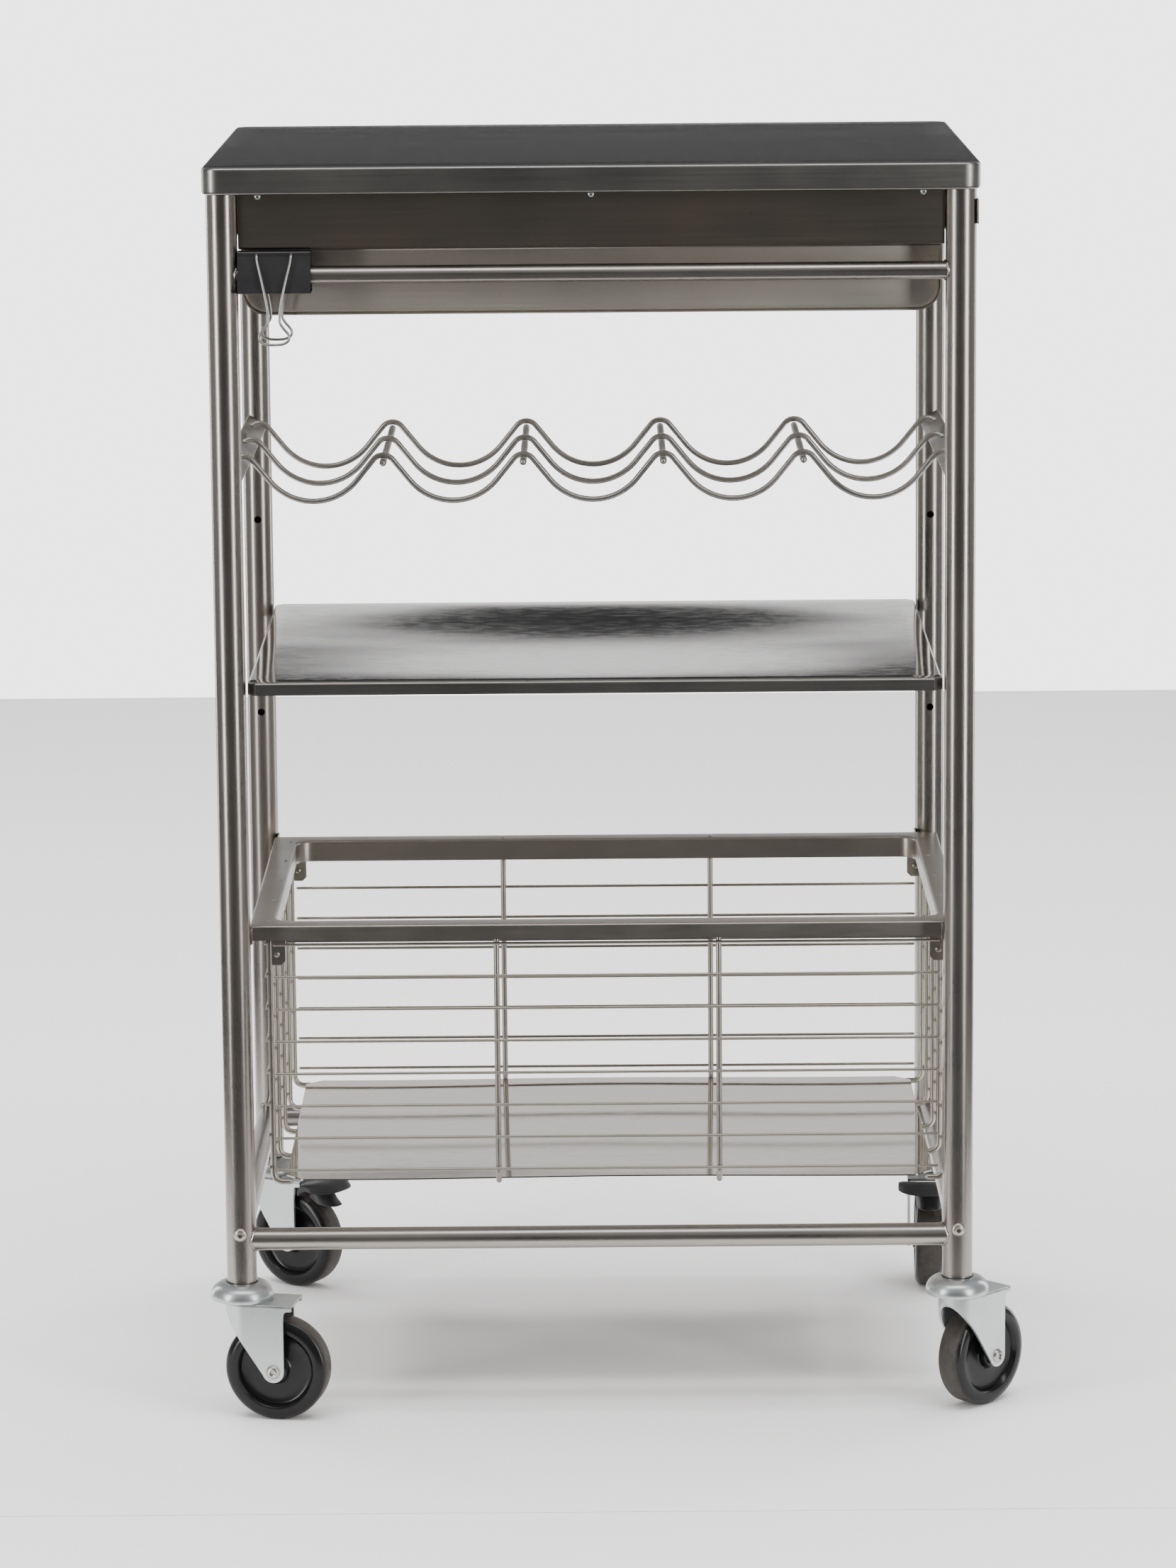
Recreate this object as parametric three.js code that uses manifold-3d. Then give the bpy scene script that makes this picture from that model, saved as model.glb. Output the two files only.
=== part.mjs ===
// Kitchen island cart in stainless steel: a folded worktop on four round posts, with a towel rail,
// a drawer under the top, a bottle rack of wavy wires, a sheet shelf, a wire basket and four swivel
// casters. Millimetres, +Z up, +X to the right of the towel-rail side, which faces -Y.
// The origin is on the floor, in the middle between the four posts.

import * as THREE from 'three';
import { mergeVertices } from 'three/addons/utils/BufferGeometryUtils.js';
import Module from 'manifold-3d';

const wasm = await Module();
wasm.setup();

// ---- driving dimensions ----
const TOP_WIDTH = 540;
const TOP_DEPTH = 410;
const TOP_HEIGHT = 900;
const TOP_EDGE = 19.2;
const TOP_CORNER = 12;
const HEM = 12;
const SHEET = 1.2;
const GAP = 0.3;

const POST_R = 10.8;
const POST_WALL = 1.2;
const POST_X = 257.2;
const POST_Y = 184;
const POST_BOTTOM = 100;
const POST_TOP = TOP_HEIGHT - SHEET - GAP;
const SPARE_HOLE_R = 2.65;
const SPARE_HOLE_Z = [453.3, 602.6];

const TOWEL_RAIL_R = 6.3;
const TOWEL_RAIL_Z = 823.4;
const LOWER_RAIL_R = 8;
const LOWER_RAIL_Z = 130.8;
const SIDE_TUBE_Z = 136.5;

const APRON_BOTTOM = 841.6;
const APRON_LIP = 9;

const SHELF_TOP = 535.7;
const SHELF_RIM = 9;
const SHELF_HALF_X = 245.4;
const SHELF_HALF_Y = 186;
const SHELF_CUT = 6;

const TROUGH_PITCH = 100.3;
const PEAK_Z = 686;
const TROUGH_Z = 653;
const RACK_WIRE_R = 2.05;
const RACK_WIRE_Y = [-98.6, 0, 98.6];
const RACK_ROD_R = 2.5;
const RACK_BAR_WIDTH = 17;

const BASKET_X = 7.5;
const RIM_LEFT = -248;
const RIM_RIGHT = 262;
const RIM_FRONT = -172;
const RIM_BACK = 161;
const RIM_TOP = 358;
const RIM_SHEET = 1;
const RIM_FLANGE = 18;
const RIM_FACE = 11;
const RIM_LIP = 16;
const CAGE_HALF_X = 241.8;
const CAGE_WIRE_RIGHT = 244.7;
const CAGE_FRONT = -164.4;
const CAGE_BACK = 149;
const CAGE_WIRE_R = 1.05;
const CAGE_ROD_R = 2.1;
const CAGE_TOP_WIRE = 342.9;
const CAGE_WIRE_STEP = 23.7;
const CAGE_WIRES = 8;
const CAGE_FLOOR = 166;
const CAGE_ROD_SPREAD = 79.5;
const RAIL_BAR_X = 245.3;
const RAIL_BAR_THICK = 1.2;
const RAIL_BAR_HEIGHT = 10;

const DRAWER_HALF_X = 245.2;
const DRAWER_FRONT = -160;
const DRAWER_BACK = 170;
const DRAWER_BOTTOM = 793;
const DRAWER_RIM = 849;
const DRAWER_RADIUS = 17;

const TRAIL = 26;
const WHEEL_R = 37.5;
const WHEEL_HALF = 11;
const FORK_HALF = 16.5;
const FORK_SKIN = 2;
const FORK_NOSE = -12;
const FORK_TAIL = 40;
const FORK_TOP = 87;
const CUP_TOP = 99.7;
const BRIM_Z = 87.6;
const HEADINGS = {
  front_left: -11.5,
  front_right: 45.9,
  back_left: -33.4,
  back_right: -92,
};
const PEDAL_WIDTH = 48;
const PEDAL_HINGE = [42.6, 79];

const CLIP_X = -220.9;
const CLIP_HALF_X = 25.5;
const CLIP_LIP_Z = 838.8;

// ---- materials ----
const brushedSteel = paint(0x8f8a84, 0.38, 1);
const polishedSteel = paint(0xaaa39e, 0.2, 1);
const topSteel = paint(0x6d6f70, 0.3, 1);
const nickelWire = paint(0xb3aca2, 0.3, 1);
const zinc = paint(0xbec6c3, 0.4, 0.9);
const blackRubber = paint(0x1a1a19, 0.6, 0);
const blackPlastic = paint(0x151515, 0.45, 0);
const blackLacquer = paint(0x121212, 0.35, 0.2);

function paint(color, roughness, metalness) {
  return new THREE.MeshStandardMaterial({ color, roughness, metalness });
}

// ---- solid helpers ----
function toSolid(geometry) {
  const bare = geometry.clone();
  for (const name of Object.keys(bare.attributes)) {
    if (name !== 'position') bare.deleteAttribute(name);
  }
  const merged = mergeVertices(bare, 1e-4);
  return new wasm.Manifold(new wasm.Mesh({
    numProp: 3,
    vertProperties: merged.attributes.position.array,
    triVerts: Uint32Array.from(merged.index.array),
  }));
}

function toGeometry(solid) {
  const mesh = solid.getMesh();
  const geometry = new THREE.BufferGeometry();
  geometry.setAttribute('position', new THREE.BufferAttribute(mesh.vertProperties, 3));
  geometry.setIndex(new THREE.BufferAttribute(mesh.triVerts, 1));
  return geometry;
}

function joined(geometries) {
  return geometries.map(toSolid).reduce((whole, piece) => whole.add(piece));
}

function box(x0, x1, y0, y1, z0, z1) {
  const geometry = new THREE.BoxGeometry(x1 - x0, y1 - y0, z1 - z0);
  return geometry.translate((x0 + x1) / 2, (y0 + y1) / 2, (z0 + z1) / 2);
}

// A cylinder between two points.
function rod(from, to, radius, sides = 12) {
  const start = new THREE.Vector3(...from);
  const end = new THREE.Vector3(...to);
  const direction = end.clone().sub(start);
  const geometry = new THREE.CylinderGeometry(radius, radius, direction.length(), sides);
  const turn = new THREE.Quaternion().setFromUnitVectors(
    new THREE.Vector3(0, 1, 0), direction.clone().normalize());
  return geometry.applyQuaternion(turn).translate(...start.add(end).multiplyScalar(0.5).toArray());
}

// A profile of [radius, z] points turned about Z.
function turned(points, sides = 32) {
  const profile = points.map(([r, z]) => new THREE.Vector2(r, z));
  return new THREE.LatheGeometry(profile, sides).rotateX(Math.PI / 2);
}

function tube(radius, wall, z0, z1, sides = 24) {
  const inner = radius - wall;
  return turned([[inner, z0], [radius, z0], [radius, z1], [inner, z1], [inner, z0]], sides);
}

// A flat outline of [a, b] points, extruded by depth.
function slab(points, depth, curveSegments = 6) {
  const shape = points instanceof THREE.Shape
    ? points
    : new THREE.Shape(points.map(([a, b]) => new THREE.Vector2(a, b)));
  return new THREE.ExtrudeGeometry(shape, { depth, bevelEnabled: false, curveSegments });
}

// An outline drawn in X and Z, standing between y0 and y1.
function wallSlab(points, y0, y1, curveSegments = 6) {
  return slab(points, y1 - y0, curveSegments).rotateX(Math.PI / 2).translate(0, y1, 0);
}

// An outline drawn in Y and Z, running from x0 to x1.
function longSlab(points, x0, x1) {
  return slab(points, x1 - x0).rotateX(Math.PI / 2).rotateZ(Math.PI / 2).translate(x0, 0, 0);
}

function roundedRectangle(halfX, halfY, radius) {
  const shape = new THREE.Shape();
  const inX = halfX - radius;
  const inY = halfY - radius;
  shape.moveTo(halfX, -inY);
  shape.lineTo(halfX, inY);
  shape.absarc(inX, inY, radius, 0, Math.PI / 2, false);
  shape.lineTo(-inX, halfY);
  shape.absarc(-inX, inY, radius, Math.PI / 2, Math.PI, false);
  shape.lineTo(-halfX, -inY);
  shape.absarc(-inX, -inY, radius, Math.PI, 1.5 * Math.PI, false);
  shape.lineTo(inX, -halfY);
  shape.absarc(inX, -inY, radius, 1.5 * Math.PI, 2 * Math.PI, false);
  return shape;
}

// A round wire along a list of points.
function wire(points, radius, steps, sides = 6) {
  const path = new THREE.CatmullRomCurve3(points.map((p) => new THREE.Vector3(...p)));
  const section = new THREE.Shape();
  for (let i = 0; i < sides; i += 1) {
    const angle = (2 * Math.PI * i) / sides;
    const place = [radius * Math.cos(angle), radius * Math.sin(angle)];
    if (i === 0) section.moveTo(...place);
    else section.lineTo(...place);
  }
  section.closePath();
  return new THREE.ExtrudeGeometry(section, { steps, extrudePath: path, bevelEnabled: false });
}

const cart = new THREE.Group();

function place(name, geometry, material, parent = cart) {
  const mesh = new THREE.Mesh(geometry, material);
  mesh.name = name;
  parent.add(mesh);
  return mesh;
}

function postClearance(extra = GAP) {
  const cylinders = [];
  for (const x of [-POST_X, POST_X]) {
    for (const y of [-POST_Y, POST_Y]) {
      cylinders.push(rod([x, y, 0], [x, y, POST_TOP + GAP], POST_R + extra, 24));
    }
  }
  return joined(cylinders);
}

// ---- worktop ----
// One folded sheet: a flat top, an edge all round and a narrow hem turned in under it.
function makeWorktop() {
  const bottom = TOP_HEIGHT - TOP_EDGE;
  const halfX = TOP_WIDTH / 2;
  const halfY = TOP_DEPTH / 2;
  const outside = slab(roundedRectangle(halfX, halfY, TOP_CORNER), TOP_EDGE);
  const inside = slab(
    roundedRectangle(halfX - SHEET, halfY - SHEET, TOP_CORNER - SHEET), TOP_EDGE - 2 * SHEET);
  const opening = slab(roundedRectangle(halfX - HEM, halfY - HEM, 4), SHEET * 2);
  const pan = toSolid(outside.translate(0, 0, bottom))
    .subtract(toSolid(inside.translate(0, 0, bottom + SHEET)))
    .subtract(toSolid(opening.translate(0, 0, bottom - SHEET / 2)))
    .subtract(postClearance());
  place('worktop', toGeometry(pan), topSteel);
}

// ---- frame ----
// A post is a tube with two spare shelf holes that face the middle of the cart.
function makePosts() {
  for (const [side, x] of [['left', -POST_X], ['right', POST_X]]) {
    for (const [end, y] of [['front', -POST_Y], ['back', POST_Y]]) {
      const inward = -Math.sign(y);
      let post = toSolid(tube(POST_R, POST_WALL, POST_BOTTOM, POST_TOP));
      for (const z of SPARE_HOLE_Z) {
        const hole = rod([0, 0, z], [0, inward * (POST_R + 2), z], SPARE_HOLE_R, 12);
        post = post.subtract(toSolid(hole));
      }
      place(`post_${end}_${side}`, toGeometry(post), brushedSteel).position.set(x, y, 0);
    }
  }
}

// A tube from post to post along X, coped to fit the posts.
function crossTube(name, radius, y, z) {
  const length = 2 * POST_X;
  const hollow = tube(radius, SHEET, 0, length, 16);
  const solid = toSolid(hollow.rotateY(Math.PI / 2).translate(-POST_X, y, z));
  place(name, toGeometry(solid.subtract(postClearance())), brushedSteel);
}

function sideTube(name, x) {
  const length = 2 * POST_Y;
  const hollow = tube(LOWER_RAIL_R, SHEET, 0, length, 16);
  const solid = toSolid(hollow.rotateX(-Math.PI / 2).translate(x, -POST_Y, SIDE_TUBE_Z));
  place(name, toGeometry(solid.subtract(postClearance())), brushedSteel);
}

// The front apron is a folded strip between the front posts, with a lip turned in at the bottom.
function makeAprons() {
  const endX = POST_X - POST_R - GAP - 0.3;
  const faceY = -POST_Y - 2;
  const front = longSlab([
    [faceY, APRON_BOTTOM],
    [faceY + APRON_LIP, APRON_BOTTOM],
    [faceY + APRON_LIP, APRON_BOTTOM + SHEET],
    [faceY + SHEET, APRON_BOTTOM + SHEET],
    [faceY + SHEET, POST_TOP],
    [faceY, POST_TOP],
  ], -endX, endX);
  place('apron_front', front, brushedSteel);
  const endY = POST_Y - POST_R - GAP;
  const sideTop = TOP_HEIGHT - TOP_EDGE - GAP;
  for (const [side, sign] of [['left', -1], ['right', 1]]) {
    const face = box(POST_X + 5, POST_X + 5 + SHEET, -endY, endY, APRON_BOTTOM, sideTop);
    const lip = box(POST_X - 4, POST_X + 5.5, -endY, endY, APRON_BOTTOM, APRON_BOTTOM + SHEET);
    const apron = toGeometry(joined([face, lip]));
    if (sign < 0) apron.rotateZ(Math.PI);
    place(`apron_${side}`, apron, brushedSteel);
  }
}

// The shelf is a tray turned upside down: a flat top with a short rim folded down all round.
function makeShelf() {
  const cut = SHELF_CUT;
  const outline = (inset) => {
    const x = SHELF_HALF_X - inset;
    const y = SHELF_HALF_Y - inset;
    return [
      [-x + cut, -y], [x - cut, -y], [x, -y + cut], [x, y - cut],
      [x - cut, y], [-x + cut, y], [-x, y - cut], [-x, -y + cut],
    ];
  };
  const top = slab(outline(0), SHELF_RIM).translate(0, 0, SHELF_TOP - SHELF_RIM);
  const hollow = slab(outline(SHEET), SHELF_RIM).translate(0, 0, SHELF_TOP - SHELF_RIM - SHEET);
  place('shelf', toGeometry(toSolid(top).subtract(toSolid(hollow))), polishedSteel);
}

// ---- bottle rack ----
// Each wire is a wave along X with wide hollows for the bottles and narrower crests.
function makeRackWire(name, y) {
  const endX = 2.5 * TROUGH_PITCH;
  const height = (PEAK_Z - TROUGH_Z) / 2;
  const crestLift = 0.08 * height;
  const middle = (PEAK_Z + TROUGH_Z) / 2 - crestLift;
  const steps = 25;
  const points = [[-endX - 4.6, y, PEAK_Z - 1.2], [-endX - 2.4, y, PEAK_Z - 0.3]];
  for (let i = -steps; i <= steps; i += 1) {
    const x = (i / steps) * endX;
    const angle = (2 * Math.PI * x) / TROUGH_PITCH;
    const z = middle - height * Math.cos(angle) + crestLift * Math.cos(2 * angle);
    points.push([x, y, z]);
  }
  points.push([endX + 2.4, y, PEAK_Z - 0.3], [endX + 4.6, y, PEAK_Z - 1.2]);
  place(name, wire(points, RACK_WIRE_R, 55), nickelWire);
}

// Four rods tie the wires together under their crests. Two sloping bars between the posts carry them.
function makeRack() {
  makeRackWire('rack_wire_front', RACK_WIRE_Y[0]);
  makeRackWire('rack_wire_middle', RACK_WIRE_Y[1]);
  makeRackWire('rack_wire_back', RACK_WIRE_Y[2]);
  const rodZ = PEAK_Z - RACK_WIRE_R - RACK_ROD_R - 1.3;
  const reach = RACK_WIRE_Y[2] + 6;
  for (let i = 0; i < 4; i += 1) {
    const x = (i - 1.5) * TROUGH_PITCH;
    place(`rack_rod_${i + 1}`, rod([x, -reach, rodZ], [x, reach, rodZ], RACK_ROD_R), nickelWire);
  }
  const half = RACK_BAR_WIDTH / 2;
  const endY = POST_Y - POST_R - GAP;
  for (const [side, sign] of [['left', -1], ['right', 1]]) {
    const bar = place(`rack_end_bar_${side}`, box(-half, half, -endY, endY, -1, 1), brushedSteel);
    bar.position.set(sign * 256.1, 0, PEAK_Z - 8);
    bar.rotation.y = -sign * THREE.MathUtils.degToRad(41);
  }
}

// ---- basket ----
// Two flat bars on edge run from post to post. The basket's folded rim hangs over them.
function makeBasketRails() {
  const top = RIM_TOP - RIM_SHEET - GAP;
  for (const [side, sign] of [['left', -1], ['right', 1]]) {
    const inner = sign * RAIL_BAR_X;
    const outer = sign * (RAIL_BAR_X + RAIL_BAR_THICK);
    const bar = toSolid(box(Math.min(inner, outer), Math.max(inner, outer),
      -POST_Y, POST_Y, top - RAIL_BAR_HEIGHT, top));
    place(`basket_rail_${side}`, toGeometry(bar.subtract(postClearance())), brushedSteel);
  }
}

// The rim is an upside-down channel: an outer face, a flat top and a longer inner lip.
// Its front and back faces are notched where the two bars pass.
function makeBasketRim() {
  const ring = (inset, z0, z1) => toSolid(box(
    RIM_LEFT + inset, RIM_RIGHT - inset, RIM_FRONT + inset, RIM_BACK - inset, z0, z1));
  const below = RIM_TOP - 2 * RIM_LIP;
  const channel = ring(RIM_SHEET, below, RIM_TOP - RIM_SHEET)
    .subtract(ring(RIM_FLANGE - RIM_SHEET, below - 1, RIM_TOP));
  const underFace = ring(-5, below, RIM_TOP - RIM_FACE)
    .subtract(ring(RIM_SHEET, below - 1, RIM_TOP));
  const middle = RAIL_BAR_X + RAIL_BAR_THICK / 2;
  const notches = joined([-middle, middle].map((x) => box(
    x - 1.1, x + 1.1, -POST_Y, POST_Y, below, RIM_TOP - RIM_SHEET)));
  const rim = ring(0, RIM_TOP - RIM_LIP, RIM_TOP)
    .subtract(ring(RIM_FLANGE, below, RIM_TOP + 5))
    .subtract(channel)
    .subtract(underFace)
    .subtract(notches);
  place('basket_rim', toGeometry(rim), brushedSteel);
}

const cageWireHeights = Array.from({ length: CAGE_WIRES },
  (unused, row) => CAGE_TOP_WIRE - row * CAGE_WIRE_STEP);
const cageRodTop = RIM_TOP - RIM_SHEET - GAP;
const wireOffset = CAGE_ROD_R + CAGE_WIRE_R - 0.4;

// A front or back wall: level wires welded outside two upright rods.
function makeEndWall(name, y, outward) {
  const pieces = [];
  for (const sign of [-1, 1]) {
    const x = BASKET_X + sign * CAGE_ROD_SPREAD;
    pieces.push(rod([x, y, CAGE_FLOOR + CAGE_ROD_R + GAP], [x, y, cageRodTop], CAGE_ROD_R, 6));
  }
  const left = BASKET_X - CAGE_HALF_X + 2.5;
  for (const z of cageWireHeights) {
    const wireY = y + outward * wireOffset;
    pieces.push(rod([left, wireY, z], [CAGE_WIRE_RIGHT, wireY, z], CAGE_WIRE_R, 5));
  }
  place(name, toGeometry(joined(pieces)), nickelWire);
}

// A side wall: level wires welded outside five upright rods.
function makeSideWall(name, sign) {
  const x = BASKET_X + sign * CAGE_HALF_X;
  const first = CAGE_FRONT + 8;
  const last = CAGE_BACK - 8;
  const pieces = [];
  for (let i = 0; i < 5; i += 1) {
    const y = first + (i / 4) * (last - first);
    pieces.push(rod([x, y, CAGE_FLOOR - CAGE_ROD_R], [x, y, cageRodTop], CAGE_ROD_R, 6));
  }
  for (const z of cageWireHeights) {
    const wireX = x + sign * wireOffset;
    pieces.push(rod([wireX, first - 6, z], [wireX, last + 6, z], CAGE_WIRE_R, 5));
  }
  place(name, toGeometry(joined(pieces)), nickelWire);
}

// The floor rods carry the loose sheet. Three cross wires tie them together.
function makeBasketFloor() {
  const pieces = [];
  for (const sign of [-1, 1]) {
    const x = BASKET_X + sign * CAGE_ROD_SPREAD;
    pieces.push(rod(
      [x, CAGE_FRONT - 2, CAGE_FLOOR], [x, CAGE_BACK + 2, CAGE_FLOOR], CAGE_ROD_R, 6));
  }
  const reach = CAGE_HALF_X - 20;
  const wireZ = CAGE_FLOOR - wireOffset;
  for (const y of [-100, -7, 86]) {
    pieces.push(rod([BASKET_X - reach, y, wireZ], [BASKET_X + reach, y, wireZ], CAGE_WIRE_R, 6));
  }
  place('basket_floor_rods', toGeometry(joined(pieces)), nickelWire);
}

// A loose polished sheet with clipped corners lies on the floor rods.
function makeBasketSheet() {
  const x = CAGE_HALF_X - 8.3;
  const y0 = CAGE_FRONT + CAGE_ROD_R + 1;
  const y1 = CAGE_BACK - CAGE_ROD_R - 3;
  const cut = 12;
  const outline = [
    [-x + cut, y0], [x - cut, y0], [x, y0 + cut], [x, y1 - cut],
    [x - cut, y1], [-x + cut, y1], [-x, y1 - cut], [-x, y0 + cut],
  ];
  const sheet = slab(outline, 1).translate(BASKET_X, 0, CAGE_FLOOR + CAGE_ROD_R + GAP);
  place('basket_sheet', sheet, polishedSteel);
}

// ---- drawer ----
function drawerSection(inset, topZ) {
  const half = DRAWER_HALF_X - inset;
  const bottom = DRAWER_BOTTOM + inset;
  const radius = DRAWER_RADIUS - inset;
  const shape = new THREE.Shape();
  shape.moveTo(half, topZ);
  shape.lineTo(-half, topZ);
  shape.lineTo(-half, bottom + radius);
  shape.absarc(-half + radius, bottom + radius, radius, Math.PI, 1.5 * Math.PI, false);
  shape.lineTo(half - radius, bottom);
  shape.absarc(half - radius, bottom + radius, radius, 1.5 * Math.PI, 2 * Math.PI, false);
  return shape;
}

// The drawer is a round-cornered trough with a low end wall and flanges that hang on the runners.
function makeDrawer() {
  const wall = 1;
  const endWallTop = 842;
  const trough = toSolid(wallSlab(drawerSection(0, DRAWER_RIM), DRAWER_FRONT, DRAWER_BACK));
  const inside = wallSlab(drawerSection(wall, DRAWER_RIM + 1), DRAWER_FRONT + wall, DRAWER_BACK - wall);
  const half = DRAWER_HALF_X;
  const overEndWall = box(-half + wall, half - wall, DRAWER_FRONT - 1, DRAWER_FRONT + 2,
    endWallTop, DRAWER_RIM + 1);
  const overBackWall = box(-half + wall, half - wall, DRAWER_BACK - 2, DRAWER_BACK + 1,
    endWallTop, DRAWER_RIM + 1);
  let tray = trough
    .subtract(toSolid(inside))
    .subtract(toSolid(overEndWall))
    .subtract(toSolid(overBackWall));
  for (const sign of [-1, 1]) {
    const outer = sign * half;
    const inner = sign * (half - 12);
    tray = tray.add(toSolid(box(Math.min(outer, inner), Math.max(outer, inner),
      DRAWER_FRONT, DRAWER_BACK, DRAWER_RIM - wall, DRAWER_RIM)));
  }
  place('drawer_tray', toGeometry(tray), brushedSteel);
  makeDrawerFront();
  makeDrawerRunners();
}

// The drawer's face is a shallow folded pan between the back posts, with a bow handle.
function makeDrawerFront() {
  const y0 = DRAWER_BACK + GAP;
  const y1 = 186;
  const bottom = DRAWER_BOTTOM + 2;
  const top = TOP_HEIGHT - TOP_EDGE - 3;
  const half = DRAWER_HALF_X;
  const face = toSolid(box(-half, half, y0, y1, bottom, top));
  const hollow = toSolid(box(-half + SHEET, half - SHEET, y0 - 1, y1 - SHEET,
    bottom + SHEET, top - SHEET));
  place('drawer_front', toGeometry(face.subtract(hollow)), brushedSteel);
  const gripHalf = 70;
  const gripY = y1 + 12;
  const gripZ = 840;
  const grip = joined([
    rod([-gripHalf - 4, gripY, gripZ], [gripHalf + 4, gripY, gripZ], 4),
    rod([-gripHalf, y1 + GAP, gripZ], [-gripHalf, gripY, gripZ], 3.6),
    rod([gripHalf, y1 + GAP, gripZ], [gripHalf, gripY, gripZ], 3.6),
  ]);
  place('drawer_handle', toGeometry(grip), brushedSteel);
}

// A runner hangs from the worktop: a top flange, a web and a leg that carries the drawer's flange.
function makeDrawerRunners() {
  const legTop = DRAWER_RIM - 1 - GAP;
  const half = 169.6;
  const web = 230;
  for (const [side, sign] of [['left', -1], ['right', 1]]) {
    const runner = toGeometry(joined([
      box(web, web + SHEET, -half, half, legTop - SHEET, POST_TOP),
      box(web, web + 12.8, -half, half, legTop - SHEET, legTop),
      box(web - 12, web + SHEET, -half, half, POST_TOP - SHEET, POST_TOP),
    ]));
    if (sign < 0) runner.rotateZ(Math.PI);
    place(`drawer_runner_${side}`, runner, brushedSteel);
  }
}

// ---- casters ----
// The cup is a dome with a stem up inside the post and a king pin down through the fork.
function makeCup(name, x, y) {
  const plateTop = FORK_TOP + GAP;
  const plateUnder = FORK_TOP - FORK_SKIN - GAP;
  const profile = [
    [0, 128], [9.2, 127], [9.2, CUP_TOP], [12.8, CUP_TOP], [18, 97],
    [21.6, 91.8], [22.7, 89.4], [22.7, BRIM_Z], [21.3, BRIM_Z],
    [17.6, 94.2], [9, 95.5], [9, plateTop], [5, plateTop],
    [5, plateUnder], [7.6, plateUnder], [7.6, plateUnder - 2.2], [0, plateUnder - 2.2],
  ];
  place(name, turned(profile.reverse(), 24), zinc).position.set(x, y, 0);
}

// The fork is pressed from one sheet: a top plate with a round nose and a leg on each side.
function makeFork(name, group) {
  const plan = (inset) => {
    const half = FORK_HALF - inset;
    const noseX = FORK_NOSE + FORK_HALF;
    const shape = new THREE.Shape();
    shape.moveTo(FORK_TAIL + 1, -half);
    shape.lineTo(FORK_TAIL + 1, half);
    shape.lineTo(noseX, half);
    shape.absarc(noseX, 0, half, Math.PI / 2, 1.5 * Math.PI, false);
    return shape;
  };
  const tall = FORK_TOP - 20;
  const block = toSolid(slab(plan(0), tall, 7).translate(0, 0, 20));
  const hollow = toSolid(slab(plan(FORK_SKIN), tall, 7).translate(0, 0, 20 - FORK_SKIN));
  const openBack = toSolid(box(20, FORK_TAIL + 5, -FORK_HALF + FORK_SKIN, FORK_HALF - FORK_SKIN,
    10, FORK_TOP - FORK_SKIN));
  const side = new THREE.Shape();
  side.moveTo(FORK_NOSE - 3, FORK_TOP + 1);
  side.lineTo(FORK_NOSE - 3, 80);
  side.lineTo(FORK_NOSE + 2, 79.6);
  side.quadraticCurveTo(-4, 76, 0.5, 62);
  side.lineTo(TRAIL - 7, WHEEL_R - 3.6);
  side.absarc(TRAIL, WHEEL_R, 7.9, 1.15 * Math.PI, 2 * Math.PI, false);
  side.lineTo(TRAIL + 8, 78);
  side.quadraticCurveTo(TRAIL + 8.4, 82, FORK_TAIL, 82.6);
  side.lineTo(FORK_TAIL, FORK_TOP + 1);
  const cutter = toSolid(wallSlab(side, -30, 30, 5));
  const kingHole = toSolid(rod([0, 0, FORK_TOP - 8], [0, 0, FORK_TOP + 4], 5.4, 16));
  const axleHole = toSolid(rod([TRAIL, -30, WHEEL_R], [TRAIL, 30, WHEEL_R], 3.3, 14));
  const fork = block.subtract(hollow).subtract(openBack).intersect(cutter)
    .subtract(kingHole).subtract(axleHole);
  place(name, toGeometry(fork), zinc, group);
}

function makeAxle(name, group) {
  const head = FORK_HALF + GAP;
  const profile = [
    [0, -head - 2.2], [3.2, -head - 2.2], [5.4, -head - 1], [5.4, -head], [3, -head],
    [3, head], [5.4, head], [5.4, head + 1], [3.2, head + 2.2], [0, head + 2.2],
  ];
  const axle = turned(profile, 14).rotateX(Math.PI / 2).translate(TRAIL, 0, WHEEL_R);
  place(name, axle, zinc, group);
}

// The wheel has a hub, a thinner web and a tread with round shoulders.
function makeWheel(name, group) {
  const half = [
    [3.4, 12.2], [8.5, 12.2], [9.5, 7], [24.5, 6.6], [28, WHEEL_HALF],
    [34.4, 9.2], [WHEEL_R, 3.6],
  ];
  const profile = [
    ...half.map(([r, w]) => [r, -w]),
    ...half.slice().reverse(),
    [half[0][0], -half[0][1]],
  ];
  const wheel = turned(profile, 30).rotateX(Math.PI / 2).translate(TRAIL, 0, WHEEL_R);
  place(name, wheel, blackRubber, group);
}

// The brake pedal has an upper tongue to press and a lower tongue to release it.
function makePedal(name, group) {
  const outline = [
    [0, -3], [2, 5.4], [8, 8.6], [18, 7.8], [24, 5], [27.5, 1.2], [24, 0.6], [20, 1.4],
    [16, -1.4], [19, -6.8], [24.5, -11.2], [20, -12.6], [13, -10.4], [6, -6.4],
  ];
  const half = PEDAL_WIDTH / 2;
  place(name, wallSlab(outline, -half, half), blackPlastic, group)
    .position.set(PEDAL_HINGE[0], 0, PEDAL_HINGE[1]);
}

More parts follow.
